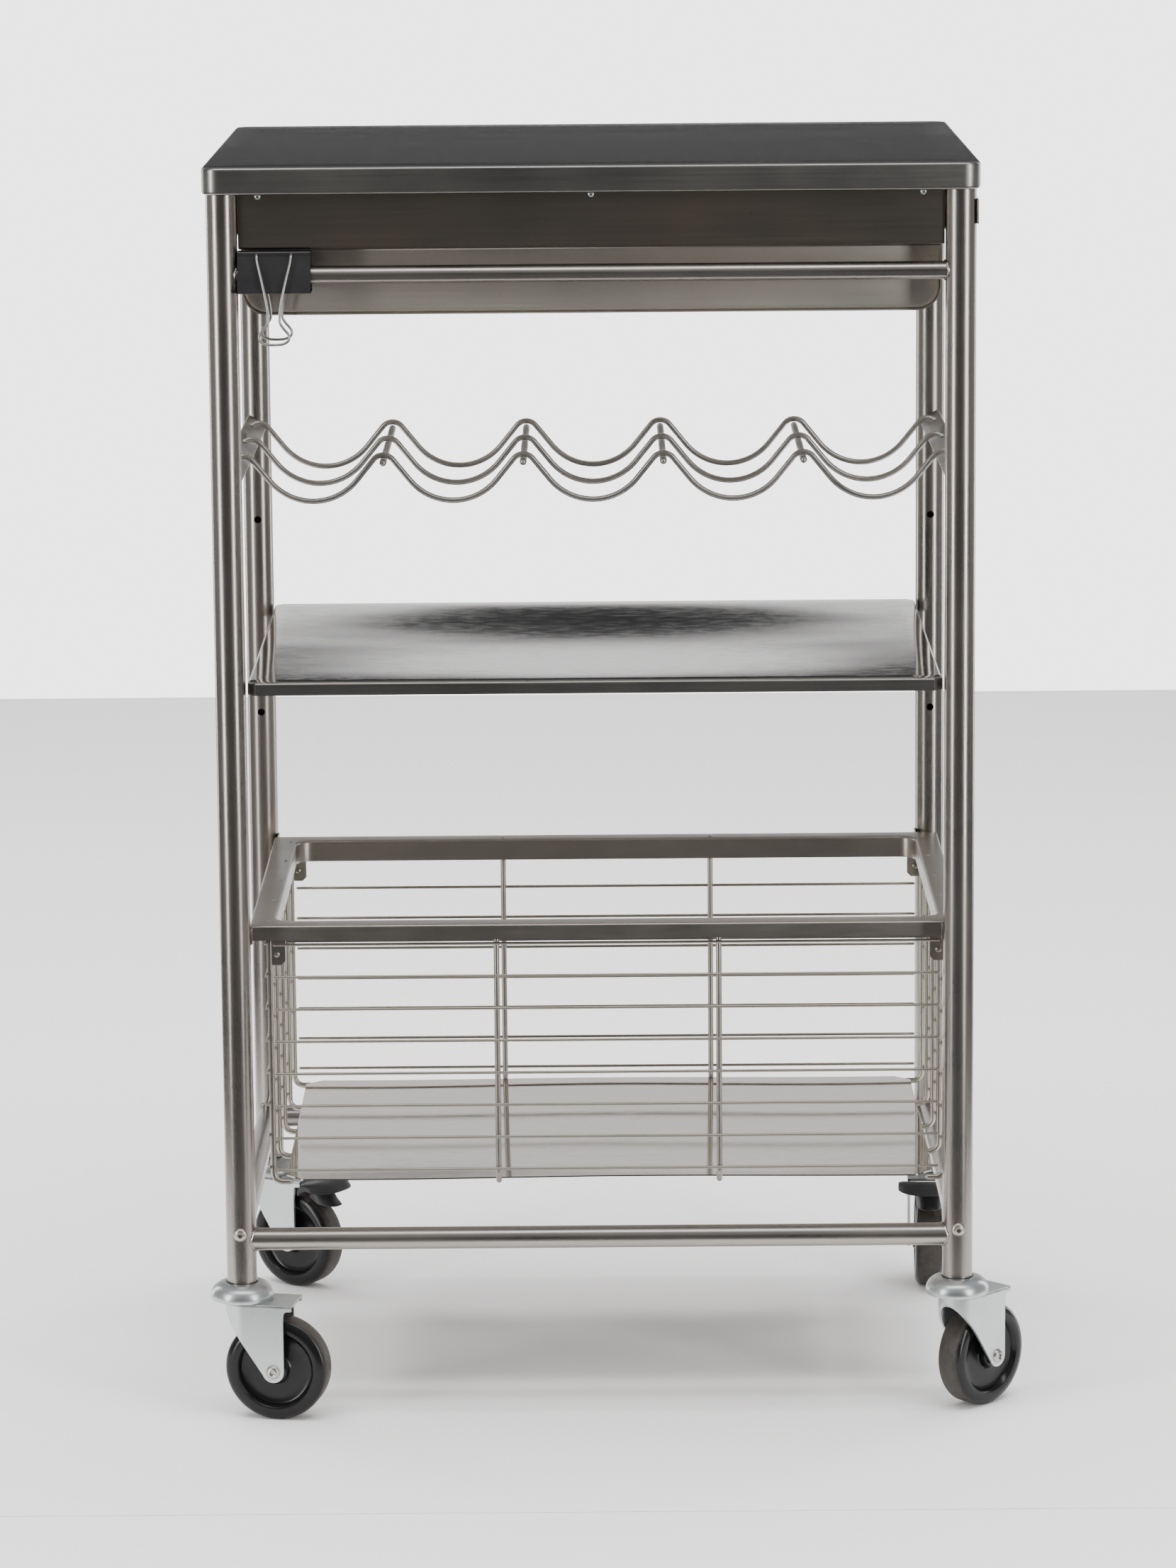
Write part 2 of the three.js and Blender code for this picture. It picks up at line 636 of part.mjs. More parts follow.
function makeCasters() {
  for (const [corner, heading] of Object.entries(HEADINGS)) {
    const [end, side] = corner.split('_');
    const x = side === 'left' ? -POST_X : POST_X;
    const y = end === 'front' ? -POST_Y : POST_Y;
    makeCup(`caster_cup_${corner}`, x, y);
    const group = new THREE.Group();
    group.position.set(x, y, 0);
    group.rotation.z = THREE.MathUtils.degToRad(heading);
    cart.add(group);
    makeFork(`caster_fork_${corner}`, group);
    makeAxle(`caster_axle_${corner}`, group);
    makeWheel(`caster_wheel_${corner}`, group);
    if (end === 'back') makePedal(`brake_pedal_${corner}`, group);
  }
}

// ---- binder clip on the towel rail ----
// The clip is a spring sheet bent round the rail: a flat spine below, two sides and curled lips.
function makeClip() {
  const spineZ = TOWEL_RAIL_Z - 12;
  const lipZ = CLIP_LIP_Z;
  const skin = 0.7;
  const half = 12.6;
  const lip = 1.4;
  const outline = [
    [-half, spineZ], [half, spineZ], [lip + 3.4, lipZ - 1.6], [lip + 4.2, lipZ + 0.4],
    [lip + 2.6, lipZ + 1.8], [lip - 0.4, lipZ + 1.2], [lip - 0.6, lipZ - 1.6],
    [lip + 2.2, lipZ - 3.6], [half - skin * 1.5, spineZ + skin],
    [-half + skin * 1.5, spineZ + skin], [-lip - 2.2, lipZ - 3.6],
    [-lip + 0.6, lipZ - 1.6], [-lip + 0.4, lipZ + 1.2], [-lip - 2.6, lipZ + 1.8],
    [-lip - 4.2, lipZ + 0.4], [-lip - 3.4, lipZ - 1.6],
  ];
  const body = longSlab(outline, CLIP_X - CLIP_HALF_X, CLIP_X + CLIP_HALF_X);
  const eyes = [];
  for (const sign of [-1, 1]) {
    for (const legX of [-12, 12]) {
      const eyeY = sign * (lip + 1.6);
      eyes.push(rod([CLIP_X + legX - 3.6, eyeY, lipZ - 0.2],
        [CLIP_X + legX + 3.6, eyeY, lipZ - 0.2], 1.35, 8));
      eyes.push(box(CLIP_X + legX - 2.4, CLIP_X + legX + 2.4,
        Math.min(eyeY, sign * 9), Math.max(eyeY, sign * 9), lipZ - 3.6, lipZ + 2.6));
    }
  }
  const clip = toSolid(body).subtract(joined(eyes));
  place('clip_body', toGeometry(clip), blackLacquer).position.set(0, -POST_Y, 0);
  for (const [name, sign] of [['clip_handle_front', -1], ['clip_handle_back', 1]]) {
    const pivotY = sign * (lip + 1.6);
    const slope = (y) => [y[0], pivotY + sign * y[1], lipZ - 0.2 - y[2]];
    const half2 = [
      [15.2, 0, 0], [13, 0.1, 0], [12.1, 1.6, 0.3], [11.9, 3.8, 2], [11.2, 5.6, 6.5],
      [7.9, 10.6, 20], [5.2, 13.4, 33], [3.9, 14.2, 45], [6.2, 14.5, 50.2], [9.4, 14.7, 54],
      [10.5, 14.8, 57], [8.6, 15, 60.3], [2.5, 15.1, 61.8],
    ];
    const points = [
      ...half2.map(([x, y, z]) => slope([-x, y, z])),
      ...half2.slice().reverse().map(([x, y, z]) => slope([x, y, z])),
    ];
    place(name, wire(points, 0.8, 40, 5), nickelWire).position.set(CLIP_X, -POST_Y, 0);
  }
}

makeWorktop();
makePosts();
makeAprons();
crossTube('towel_rail', TOWEL_RAIL_R, -POST_Y, TOWEL_RAIL_Z);
crossTube('lower_rail_front', LOWER_RAIL_R, -POST_Y, LOWER_RAIL_Z);
crossTube('lower_rail_back', LOWER_RAIL_R, POST_Y, LOWER_RAIL_Z);
sideTube('side_tube_left', -POST_X);
sideTube('side_tube_right', POST_X);
makeShelf();
makeRack();
makeBasketRim();
makeBasketRails();
makeEndWall('basket_wall_front', CAGE_FRONT, -1);
makeEndWall('basket_wall_back', CAGE_BACK, 1);
makeSideWall('basket_wall_left', -1);
makeSideWall('basket_wall_right', 1);
makeBasketFloor();
makeBasketSheet();
makeDrawer();
makeCasters();
makeClip();

export default cart;
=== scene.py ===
import math
import bmesh
import bpy
import numpy as np
from mathutils import Matrix, Vector


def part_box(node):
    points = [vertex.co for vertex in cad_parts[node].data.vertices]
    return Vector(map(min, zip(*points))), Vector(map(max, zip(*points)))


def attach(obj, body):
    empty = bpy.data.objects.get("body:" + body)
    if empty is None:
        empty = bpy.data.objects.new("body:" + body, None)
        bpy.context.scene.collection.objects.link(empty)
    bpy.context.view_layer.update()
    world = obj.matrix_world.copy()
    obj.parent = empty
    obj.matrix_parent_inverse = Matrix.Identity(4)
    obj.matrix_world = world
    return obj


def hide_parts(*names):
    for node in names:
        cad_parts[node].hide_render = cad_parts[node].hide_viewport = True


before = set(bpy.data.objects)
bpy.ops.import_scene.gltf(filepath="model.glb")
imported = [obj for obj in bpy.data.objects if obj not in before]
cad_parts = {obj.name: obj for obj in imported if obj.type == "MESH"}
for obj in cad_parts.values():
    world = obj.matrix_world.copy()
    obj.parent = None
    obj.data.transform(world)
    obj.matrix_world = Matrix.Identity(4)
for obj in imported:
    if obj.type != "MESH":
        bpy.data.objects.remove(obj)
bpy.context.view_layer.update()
print("frame loaded:", len(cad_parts), "nodes")

mm = 0.001
tau = 2 * math.pi


# ---- shader helpers ----
class Link:
    # a shader socket that can be used in sums
    def __init__(self, graph, socket):
        self.graph, self.socket = graph, socket

    def sum(self, operation, a, b):
        return self.graph.node("ShaderNodeMath", {"operation": operation}, {0: a, 1: b})

    def __add__(self, other):
        return self.sum("ADD", self, other)

    def __sub__(self, other):
        return self.sum("SUBTRACT", self, other)

    def __rsub__(self, other):
        return self.sum("SUBTRACT", other, self)

    def __mul__(self, other):
        return self.sum("MULTIPLY", self, other)

    __radd__ = __add__
    __rmul__ = __mul__


class Graph:
    # the nodes of one material or world
    def __init__(self, owner, shader):
        owner.use_nodes = True
        self.owner, self.tree = owner, owner.node_tree
        self.shader = self.tree.nodes[shader]

    def node(self, kind, settings, inputs, output=0):
        made = self.tree.nodes.new(kind)
        for key, value in settings.items():
            if key == "stops":
                ramp = made.color_ramp.elements
                while len(ramp) < len(value):
                    ramp.new(0.5)
                for element, (position, colour) in zip(ramp, value):
                    element.position = position
                    element.color = colour4(colour)
            else:
                setattr(made, key, value)
        for key, value in inputs.items():
            self.feed(made.inputs[key], value)
        return Link(self, made.outputs[output])

    def feed(self, socket, value):
        if isinstance(value, Link):
            self.tree.links.new(value.socket, socket)
        else:
            socket.default_value = value

    def set(self, **inputs):
        for key, value in inputs.items():
            self.feed(self.shader.inputs[key.replace("_", " ")], value)

    def place(self):
        return self.node("ShaderNodeTexCoord", {}, {}, "Object")

    def stretched(self, scale):
        return self.node("ShaderNodeMapping", {}, {"Vector": self.place(), "Scale": scale})

    def noise(self, vector, scale, detail, rough):
        return self.node("ShaderNodeTexNoise", {}, {"Vector": vector, "Scale": scale,
                                                    "Detail": detail, "Roughness": rough})

    def ramp(self, factor, *stops):
        return self.node("ShaderNodeValToRGB", {"stops": stops}, {0: factor})

    def blend(self, factor, a, b):
        return self.node("ShaderNodeMix", {"data_type": "RGBA"}, {0: factor, 6: a, 7: b}, 2)

    def bump(self, height, strength, distance):
        return self.node("ShaderNodeBump", {}, {"Height": height, "Strength": strength,
                                                "Distance": distance})


def materialGraph(name):
    return Graph(bpy.data.materials.new(name), "Principled BSDF")


def colour4(c):
    # a colour or a single tone, with full alpha
    return (*c, 1) if isinstance(c, (tuple, list)) else (c, c, c, 1)


# ---- camera, floor and light ----
camera = {
    "place": (0.00414, -4.18588, 1.20329),
    "yaw": -0.0024,
    "pitch": 0.18333,
    "roll": -0.0083,
    "lens": 132.0,
    "sensor": 36.0,
}


def aimCamera(c):
    # forward, right and up are worked out from yaw, then pitch, then roll
    data = bpy.data.cameras.new("camera")
    data.lens = c["lens"]
    data.sensor_width = c["sensor"]
    data.clip_end = 60
    cy, sy = math.cos(c["yaw"]), math.sin(c["yaw"])
    cp, sp = math.cos(c["pitch"]), math.sin(c["pitch"])
    forward = Vector((sy * cp, cy * cp, -sp))
    right = Vector((cy, -sy, 0))
    up = right.cross(forward)
    cr, sr = math.cos(c["roll"]), math.sin(c["roll"])
    right, up = cr * right + sr * up, cr * up - sr * right
    turn = Matrix((right, up, -forward)).transposed().to_4x4()
    obj = bpy.data.objects.new("camera", data)
    obj.matrix_world = Matrix.Translation(Vector(c["place"])) @ turn
    bpy.context.scene.collection.objects.link(obj)
    bpy.context.scene.camera = obj


aimCamera(camera)

studio = {
    "floors": {"floor": (0.95, -0.42, 0.0, True), "wideFloor": (9.0, -9.0, -0.0002, False)},
    "floorBack": 2.92,
    "floorColour": (0.80, 0.785, 0.78),
    "wallColour": (3.3, 3.3, 3.45),
    "sky": ((-0.3, 0.16), (-0.02, 0.09), (0.02, 0.03), (0.2, 0.03), (0.38, 0.30), (1.0, 0.34)),
    "fill": 0.8,
    "aimHeight": 0.95,
    "cards": {
        "backCard": {"centre": (0, 2.9, 0.5), "size": (3.4, 1.0), "faces": (0, -1, 0), "glow": 1.25},
        "leftCard": {"centre": (-3.1, 0.4, 0.5), "size": (2.6, 1.0), "faces": (1, 0, 0), "glow": 0.42},
        "rightCard": {"centre": (3.1, 0.4, 0.5), "size": (2.6, 1.0), "faces": (-1, 0, 0), "glow": 0.42},
    },
    "lights": {
        "overhead": {"place": (0, 0.2, 3.4), "size": (4.2, 3.4), "power": 270, "inGloss": False},
        "ceilingStrip": {"place": (0, -1.3, 3.0), "size": (3.6, 0.5), "power": 42, "inGloss": True},
        "frontLeft": {"place": (-2.35, -1.85, 0.95), "size": (0.42, 2.3), "power": 44, "inGloss": True},
        "frontRight": {"place": (2.1, -2.15, 0.95), "size": (0.42, 2.3), "power": 44, "inGloss": True},
        "rearLeft": {"place": (-2.3, 1.9, 0.95), "size": (0.42, 2.3), "power": 24, "inGloss": True},
        "rearRight": {"place": (2.3, 1.9, 0.95), "size": (0.42, 2.3), "power": 24, "inGloss": True},
    },
}


def floorPaint(colour):
    g = materialGraph("floor")
    g.set(Base_Color=colour4(colour), Roughness=0.75)
    return g.owner


def glowMaterial(name, strength):
    g = materialGraph(name)
    glow = g.node("ShaderNodeEmission", {}, {"Strength": strength})
    g.feed(g.tree.nodes["Material Output"].inputs["Surface"], glow)
    g.tree.nodes.remove(g.shader)
    return g.owner


def addStage(name, corners, material, seen):
    # a four-cornered sheet of the studio, with its ray visibility
    mesh = bpy.data.meshes.new(name)
    mesh.from_pydata(corners, [], [(0, 1, 2, 3)])
    mesh.materials.append(material)
    obj = bpy.data.objects.new(name, mesh)
    for key, value in seen.items():
        setattr(obj, key, value)
    bpy.context.scene.collection.objects.link(obj)


def makeFloors(s):
    # the small floor shows in the metal, and the wide one doesn't
    paint = floorPaint(s["floorColour"])
    back = s["floorBack"]
    for name, (width, front, z, inGloss) in s["floors"].items():
        corners = [(-width, front, z), (width, front, z), (width, back, z), (-width, back, z)]
        addStage(name, corners, paint, {"visible_glossy": inGloss})


def makeCards(s):
    # glowing sheets that only the metal sees
    up = Vector((0, 0, 1))
    for name, card in s["cards"].items():
        centre = Vector(card["centre"])
        side = Vector(card["faces"]).cross(up) * card["size"][0] / 2
        rise = up * card["size"][1] / 2
        corners = [centre + side * a + rise * b for a, b in ((-1, -1), (1, -1), (1, 1), (-1, 1))]
        hidden = {"visible_camera": False, "visible_shadow": False}
        addStage(name, corners, glowMaterial(name, card["glow"]), hidden)


def makeLights(s):
    # the strips aim level at the cart, and the overhead light aims at the floor
    for name, light in s["lights"].items():
        data = bpy.data.lights.new(name, "AREA")
        data.shape = "RECTANGLE"
        data.size, data.size_y = light["size"]
        data.energy = light["power"]
        obj = bpy.data.objects.new(name, data)
        place = Vector(light["place"])
        obj.location = place
        obj.rotation_mode = "QUATERNION"
        aim = Vector((0, 0, min(place.z, s["aimHeight"]) if light["inGloss"] else 0))
        obj.rotation_quaternion = (aim - place).to_track_quat("-Z", "Y")
        obj.visible_glossy = light["inGloss"]
        bpy.context.scene.collection.objects.link(obj)


def makeSky(s):
    # what metal sees beyond the cards: a tone that follows the height of the direction
    g = Graph(bpy.data.worlds.new("studio"), "Background")
    direction = g.node("ShaderNodeTexCoord", {}, {}, "Generated")
    height = g.node("ShaderNodeSeparateXYZ", {}, {0: direction}, "Z")
    spread = g.node("ShaderNodeMapRange", {}, {"Value": height, "From Min": -1})
    seen = g.ramp(spread, *[((z + 1) / 2, (tone, tone, tone * 1.03)) for z, tone in s["sky"]])
    for ray, colour in (("Is Diffuse Ray", (s["fill"],) * 3), ("Is Camera Ray", s["wallColour"])):
        seen = g.blend(g.node("ShaderNodeLightPath", {}, {}, ray), seen, colour4(colour))
    g.set(Color=seen)
    bpy.context.scene.world = g.owner


makeFloors(studio)
makeCards(studio)
makeLights(studio)
makeSky(studio)
print("studio made")


# ---- finishes ----
alongX, alongY, alongZ = (14, 900, 900), (900, 14, 900), (900, 900, 14)
sheetGrain = (9, 700, 700)
steelLooks = {
    "postSteel": {"colour": (0.37, 0.34, 0.31), "rough": 0.27, "grain": alongZ, "bump": 0.03, "dirt": 0.25},
    "railSteel": {"colour": (0.40, 0.375, 0.35), "rough": 0.28, "grain": alongX, "bump": 0.03, "dirt": 0.2},
    "sideSteel": {"colour": (0.33, 0.31, 0.285), "rough": 0.28, "grain": alongY, "bump": 0.03, "dirt": 0.2},
    "apronSteel": {"colour": (0.235, 0.213, 0.182), "rough": 0.36, "grain": sheetGrain, "bump": 0.3,
                   "dirt": 0.75},
    "trayBright": {"colour": (0.64, 0.60, 0.53), "rough": 0.44, "grain": sheetGrain, "bump": 0.25,
                   "dirt": 0.3},
    "rimSteel": {"colour": (0.42, 0.39, 0.35), "rough": 0.33, "grain": (30, 260, 400), "bump": 0.12,
                 "dirt": 0.25},
    # for the upright faces of the folded sheets: the darker colour is painted shade
    "uprightShadeSteel": {"colour": (0.30, 0.295, 0.28), "rough": 0.32, "grain": (9, 600, 600), "bump": 0.25,
                  "dirt": 0.35},
    "barSteel": {"colour": (0.34, 0.32, 0.295), "rough": 0.28, "grain": (700, 14, 700), "bump": 0.2,
                 "dirt": 0.3},
}


def brushedSteel(name, look):
    # metal whose grain is a noise stretched along one axis; broad noise makes duller and warmer patches
    g = materialGraph(name)
    grain = g.noise(g.stretched(look["grain"]), 1.0, 4.0, 0.6)
    patches = g.noise(g.place(), 9.0, 4.0, 0.6)
    specks = g.ramp(g.noise(g.place(), 210.0, 2.0, 0.5), (0.70, 0.0), (0.76, 1.0))
    spread = g.ramp(patches, (0.38, 0.0), (0.62, 1.0))
    base = look["colour"]
    warm = (base[0] * 0.86, base[1] * 0.80, base[2] * 0.72)
    colour = g.blend(spread * look["dirt"], colour4(base), colour4(warm))
    colour = g.blend(grain * 0.22, colour, colour4([v * 0.72 for v in base]))
    colour = g.blend(specks * (0.35 * look["dirt"]), colour, colour4((0.16, 0.09, 0.05)))
    g.set(Base_Color=colour, Metallic=1.0,
          Roughness=grain * 0.14 + spread * 0.07 + look["rough"] - 0.08,
          Normal=g.bump(grain, look["bump"], 0.00012))
    return g.owner


worktopLook = {"colour": (0.33, 0.33, 0.32), "rough": 0.20}


def worktopSteel(look):
    # grain along X; faint wipe streaks are a broad noise squeezed along Y that only changes the roughness
    g = materialGraph("worktopSteel")
    grain = g.noise(g.stretched((7, 800, 800)), 1.0, 4.0, 0.6)
    wipes = g.noise(g.stretched((3, 14, 3)), 1.0, 5.0, 0.65)
    patches = g.noise(g.place(), 6.0, 3.0, 0.5)
    streak = g.ramp(wipes, (0.45, 0.0), (0.7, 1.0))
    base = look["colour"]
    colour = g.blend(grain * 0.25, colour4(base), colour4([v * 0.74 for v in base]))
    colour = g.blend(patches * 0.18, colour, colour4((0.36, 0.34, 0.30)))
    g.set(Base_Color=colour, Metallic=1.0,
          Roughness=grain * 0.10 + streak * 0.09 + look["rough"] - 0.05,
          Normal=g.bump(grain, 0.18, 0.0001))
    return g.owner


polishedLook = {"colour": (0.54, 0.515, 0.495), "rough": 0.05}


def polishedSteel(name, look, scratches):
    # nearly a mirror; broad soft waves bend the reflection, and fine rubbed marks dull it in patches
    g = materialGraph(name)
    waves = g.noise(g.stretched((3.0, 5.0, 1.0)), 1.0, 2.0, 0.4)
    rubbed = g.noise(g.stretched((60, 140, 60)), 1.0, 5.0, 0.7)
    fine = g.noise(g.stretched((30, 1400, 1400)), 1.0, 3.0, 0.6)
    marks = g.ramp(rubbed, (0.45, 0.0), (0.75, 1.0))
    base = look["colour"]
    colour = g.blend(marks * 0.25, colour4(base), colour4([v * 0.84 for v in base]))
    g.set(Base_Color=colour, Metallic=1.0,
          Roughness=marks * 0.05 + fine * 0.03 + look["rough"],
          Normal=g.bump(waves * 3.0 + fine * (0.02 * scratches), 0.4, 0.0005))
    return g.owner


wireLook = {"colour": (0.46, 0.43, 0.375), "rough": 0.33}


def nickelWire(name, look):
    # satin plating with small duller and browner spots
    g = materialGraph(name)
    spots = g.noise(g.place(), 28.0, 3.0, 0.55)
    dull = g.ramp(spots, (0.40, 0.0), (0.7, 1.0))
    base = look["colour"]
    brown = (base[0] * 0.78, base[1] * 0.72, base[2] * 0.62)
    colour = g.blend(dull * 0.3, colour4(base), colour4(brown))
    g.set(Base_Color=colour, Metallic=1.0, Roughness=dull * 0.08 + look["rough"],
          Normal=g.bump(spots, 0.02, 0.0001))
    return g.owner


zincLook = {"colour": (0.60, 0.64, 0.625), "rough": 0.36}


def zincPlate(name, look):
    # pale bluish plating with a faint cloudy spangle
    g = materialGraph(name)
    clouds = g.noise(g.place(), 60.0, 4.0, 0.6)
    fine = g.noise(g.place(), 900.0, 2.0, 0.5)
    base = look["colour"]
    shaded = (base[0] * 0.84, base[1] * 0.88, base[2] * 0.9)
    colour = g.blend(clouds * 0.3, colour4(base), colour4(shaded))
    g.set(Base_Color=colour, Metallic=0.92, Roughness=clouds * 0.2 + look["rough"] - 0.1,
          Normal=g.bump(fine, 0.08, 0.0001))
    return g.owner


wheelLook = {"tread": (0.055, 0.047, 0.039), "disc": (0.006, 0.006, 0.0065)}


def wheelRubber(look):
    # gloss disc and shoulders, dusty brown tread: the dust follows the distance from the axle
    g = materialGraph("wheelRubber")
    across = g.node("ShaderNodeAttribute", {"attribute_name": "tread"}, {}, "Fac")
    dust = g.noise(g.place(), 140.0, 5.0, 0.7)
    worn = g.ramp(dust, (0.35, 0.0), (0.7, 1.0))
    mask = across * (worn * 0.6 + 0.4)
    colour = g.blend(mask, colour4(look["disc"]), colour4(look["tread"]))
    g.set(Base_Color=colour, Roughness=mask * 0.4 + worn * 0.06 + 0.2,
          Normal=g.bump(dust, 0.2, 0.0003))
    g.shader.inputs["Specular IOR Level"].default_value = 0.3
    return g.owner


def mouldedBlack(name, roughness):
    # moulded plastic or lacquer with a fine pebble in its gloss
    g = materialGraph(name)
    pebble = g.noise(g.place(), 1600.0, 2.0, 0.5)
    rubbed = g.noise(g.place(), 90.0, 4.0, 0.6)
    colour = g.blend(rubbed * 0.5, colour4((0.010, 0.010, 0.011)), colour4((0.028, 0.028, 0.029)))
    g.set(Base_Color=colour, Roughness=rubbed * 0.16 + roughness - 0.08,
          Normal=g.bump(pebble, 0.12, 0.0001))
    return g.owner


looks = {name: brushedSteel(name, look) for name, look in steelLooks.items()}
looks["worktopSteel"] = worktopSteel(worktopLook)
looks["shelfSteel"] = polishedSteel("shelfSteel", polishedLook, 1.0)
looks["sheetSteel"] = polishedSteel("sheetSteel", {"colour": (0.43, 0.395, 0.36), "rough": 0.03}, 1.4)
looks["nickel"] = nickelWire("nickel", wireLook)
looks["brightWire"] = nickelWire("brightWire", {"colour": (0.50, 0.485, 0.46), "rough": 0.34})
looks["zinc"] = zincPlate("zinc", zincLook)
looks["cupZinc"] = zincPlate("cupZinc", {"colour": (0.50, 0.525, 0.525), "rough": 0.33})
looks["wheel"] = wheelRubber(wheelLook)
looks["pedal"] = mouldedBlack("pedal", 0.42)
looks["lacquer"] = mouldedBlack("lacquer", 0.30)
looks["seal"] = mouldedBlack("seal", 0.6)
print("finishes made:", len(looks))


# ---- mesh helpers ----
def makePiece(name, points, faces, look, body, slot, stands=(), sharpAngle=35):
    # puts points in millimetres into a mesh, closes it up, and marks sharp edges by angle
    mesh = bpy.data.meshes.new(name)
    mesh.from_pydata((np.asarray(points, float) * mm).tolist(), [], faces)
    work = bmesh.new()
    work.from_mesh(mesh)
    bmesh.ops.remove_doubles(work, verts=work.verts, dist=1e-6)
    bmesh.ops.dissolve_degenerate(work, edges=work.edges, dist=1e-7)
    bmesh.ops.recalc_face_normals(work, faces=work.faces)
    limit = math.radians(sharpAngle)
    for edge in work.edges:
        edge.smooth = len(edge.link_faces) == 2 and edge.calc_face_angle(0) < limit
    for face in work.faces:
        face.smooth = True
    work.to_mesh(mesh)
    work.free()
    mesh.materials.append(looks[look])
    obj = bpy.data.objects.new(name, mesh)
    bpy.context.scene.collection.objects.link(obj)
    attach(obj, body)
    if stands:
        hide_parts(*stands)
    return obj


def paintUprightShade(obj, look):
    # faces that stand upright take a second steel look: a rougher grain, and a darker colour that is painted
    # shade
    obj.data.materials.append(looks[look])
    normals = np.zeros(len(obj.data.polygons) * 3)
    obj.data.polygons.foreach_get("normal", normals)
    upright = np.abs(normals.reshape(-1, 3)[:, 2]) < 0.75
    obj.data.polygons.foreach_set("material_index", upright.astype(np.int32))


def gridFaces(rows, columns, closed=True):
    # quads of a grid whose columns go round when closed
    r = np.arange(rows - 1)[:, None]
    c = np.arange(columns if closed else columns - 1)[None, :]
    nextC = (c + 1) % columns
    quads = np.stack([r * columns + c, r * columns + nextC,
                      (r + 1) * columns + nextC, (r + 1) * columns + c], -1)
    return quads.reshape(-1, 4).tolist()


def cappedFaces(rows, columns):
    # the grid of closed rows, with its first and last row as flat ends
    last = (rows - 1) * columns
    return gridFaces(rows, columns) + [list(range(columns))[::-1], list(range(last, last + columns))]


def merged(*parts):
    # several (points, faces) pairs as one
    points, faces, base = [], [], 0
    for p, f in parts:
        p = np.asarray(p, float).reshape(-1, 3)
        points.append(p)
        faces += [[i + base for i in face] for face in f]
        base += len(p)
    return np.concatenate(points), faces


def moved(part, shift, turn=0.0):
    # turned about Z by an angle in degrees, then shifted
    p, f = part
    a = math.radians(turn)
    spin = np.array([[math.cos(a), math.sin(a), 0], [-math.sin(a), math.cos(a), 0], [0, 0, 1]])
    return np.asarray(p, float) @ spin + np.asarray(shift, float), f


def lathe(profile, sides=64):
    # (radius, z) becomes (radius cos a, radius sin a, z); off the axis a profile ends where it starts
    profile = np.asarray(profile, float)
    angle = np.arange(sides) * tau / sides
    x = profile[:, :1] * np.cos(angle)
    y = profile[:, :1] * np.sin(angle)
    z = np.repeat(profile[:, 1:], sides, 1)
    points = np.stack([x, y, z], -1).reshape(-1, 3)
    return points, gridFaces(len(profile), sides)


def arc(cx, cy, radius, start, end, count):
    # points on a circle, angles in degrees
    a = np.radians(np.linspace(start, end, count))
    return np.stack([cx + radius * np.cos(a), cy + radius * np.sin(a)], -1)


def tubeAlong(path, radius, sides=14, roundEnds=True):
    # ring point = path + radius (cos a * across + sin a * up), where across is turned as little as possible
    # from each ring to the next; the rings at the ends shrink to a dome or a flat disc
    path = np.asarray(path, float)
    radii = np.broadcast_to(np.asarray(radius, float), len(path))
    tangent = np.gradient(path, axis=0)
    tangent /= np.linalg.norm(tangent, axis=1)[:, None]
    side = np.cross(tangent[0], (0, 0, 1) if abs(tangent[0][2]) < 0.9 else (1, 0, 0))
    across = []
    for t in tangent:
        side = side - t * side.dot(t)
        side = side / np.linalg.norm(side)
        across.append(side)
    across = np.array(across)[:, None]
    up = np.cross(tangent[:, None], across)
    angle = (np.arange(sides) * tau / sides)[:, None]
    around = np.cos(angle) * across + np.sin(angle) * up
    lift = np.array((0.35, 0.7, 0.93, 1.0) if roundEnds else (0.0,))[:, None, None]
    shrink = np.sqrt(1 - lift ** 2) if roundEnds else lift
    start, finish = (path[end] + radii[end] * (sign * lift * tangent[end] + shrink * around[end])
                     for end, sign in ((0, -1), (-1, 1)))
    rings = np.concatenate([start[::-1], path[:, None] + radii[:, None, None] * around, finish])
    return rings.reshape(-1, 3), gridFaces(len(rings), sides)


def smoothPath(points, count):
    # a curve through the points by cubic pieces, with the slope at each from its two neighbours
    p = np.asarray(points, float)
    p = np.concatenate([[2 * p[0] - p[1]], p, [2 * p[-1] - p[-2]]])
    t = np.linspace(0, len(p) - 3 - 1e-9, count)
    i = t.astype(int)
    f = (t - i)[:, None]
    a, b, c, d = p[i], p[i + 1], p[i + 2], p[i + 3]
    square, cube = 2 * a - 5 * b + 4 * c - d, 3 * b - a - 3 * c + d
    return 0.5 * (2 * b + (c - a) * f + square * f ** 2 + cube * f ** 3)


def bentLine(points, bend, steps=5):
    # a line whose corners are rounded by arcs of the bend radius
    p = np.asarray(points, float)
    out = [p[0]]
    for i in range(1, len(p) - 1):
        before, after = p[i - 1] - p[i], p[i + 1] - p[i]
        lb, la = np.linalg.norm(before), np.linalg.norm(after)
        before, after = before / lb, after / la
        half = math.acos(max(-1.0, min(1.0, before.dot(after)))) / 2
        if half > math.radians(89):
            continue
        reach = min(bend / math.tan(half), lb * 0.49, la * 0.49)
        radius = reach * math.tan(half)
        middle = before + after
        centre = p[i] + middle / np.linalg.norm(middle) * radius / math.sin(half)
        a, b = p[i] + before * reach - centre, p[i] + after * reach - centre
        for k in range(steps + 1):
            w = k / steps
            v = a * (1 - w) + b * w
            out.append(centre + v / np.linalg.norm(v) * radius)
    out.append(p[-1])
    return np.asarray(out)


def denser(path):
    # two more points on every straight piece of the path
    share = np.arange(3)[:, None] / 3
    between = path[:-1, None] * (1 - share) + path[1:, None] * share
    return np.concatenate([between.reshape(-1, 3), path[-1:]])


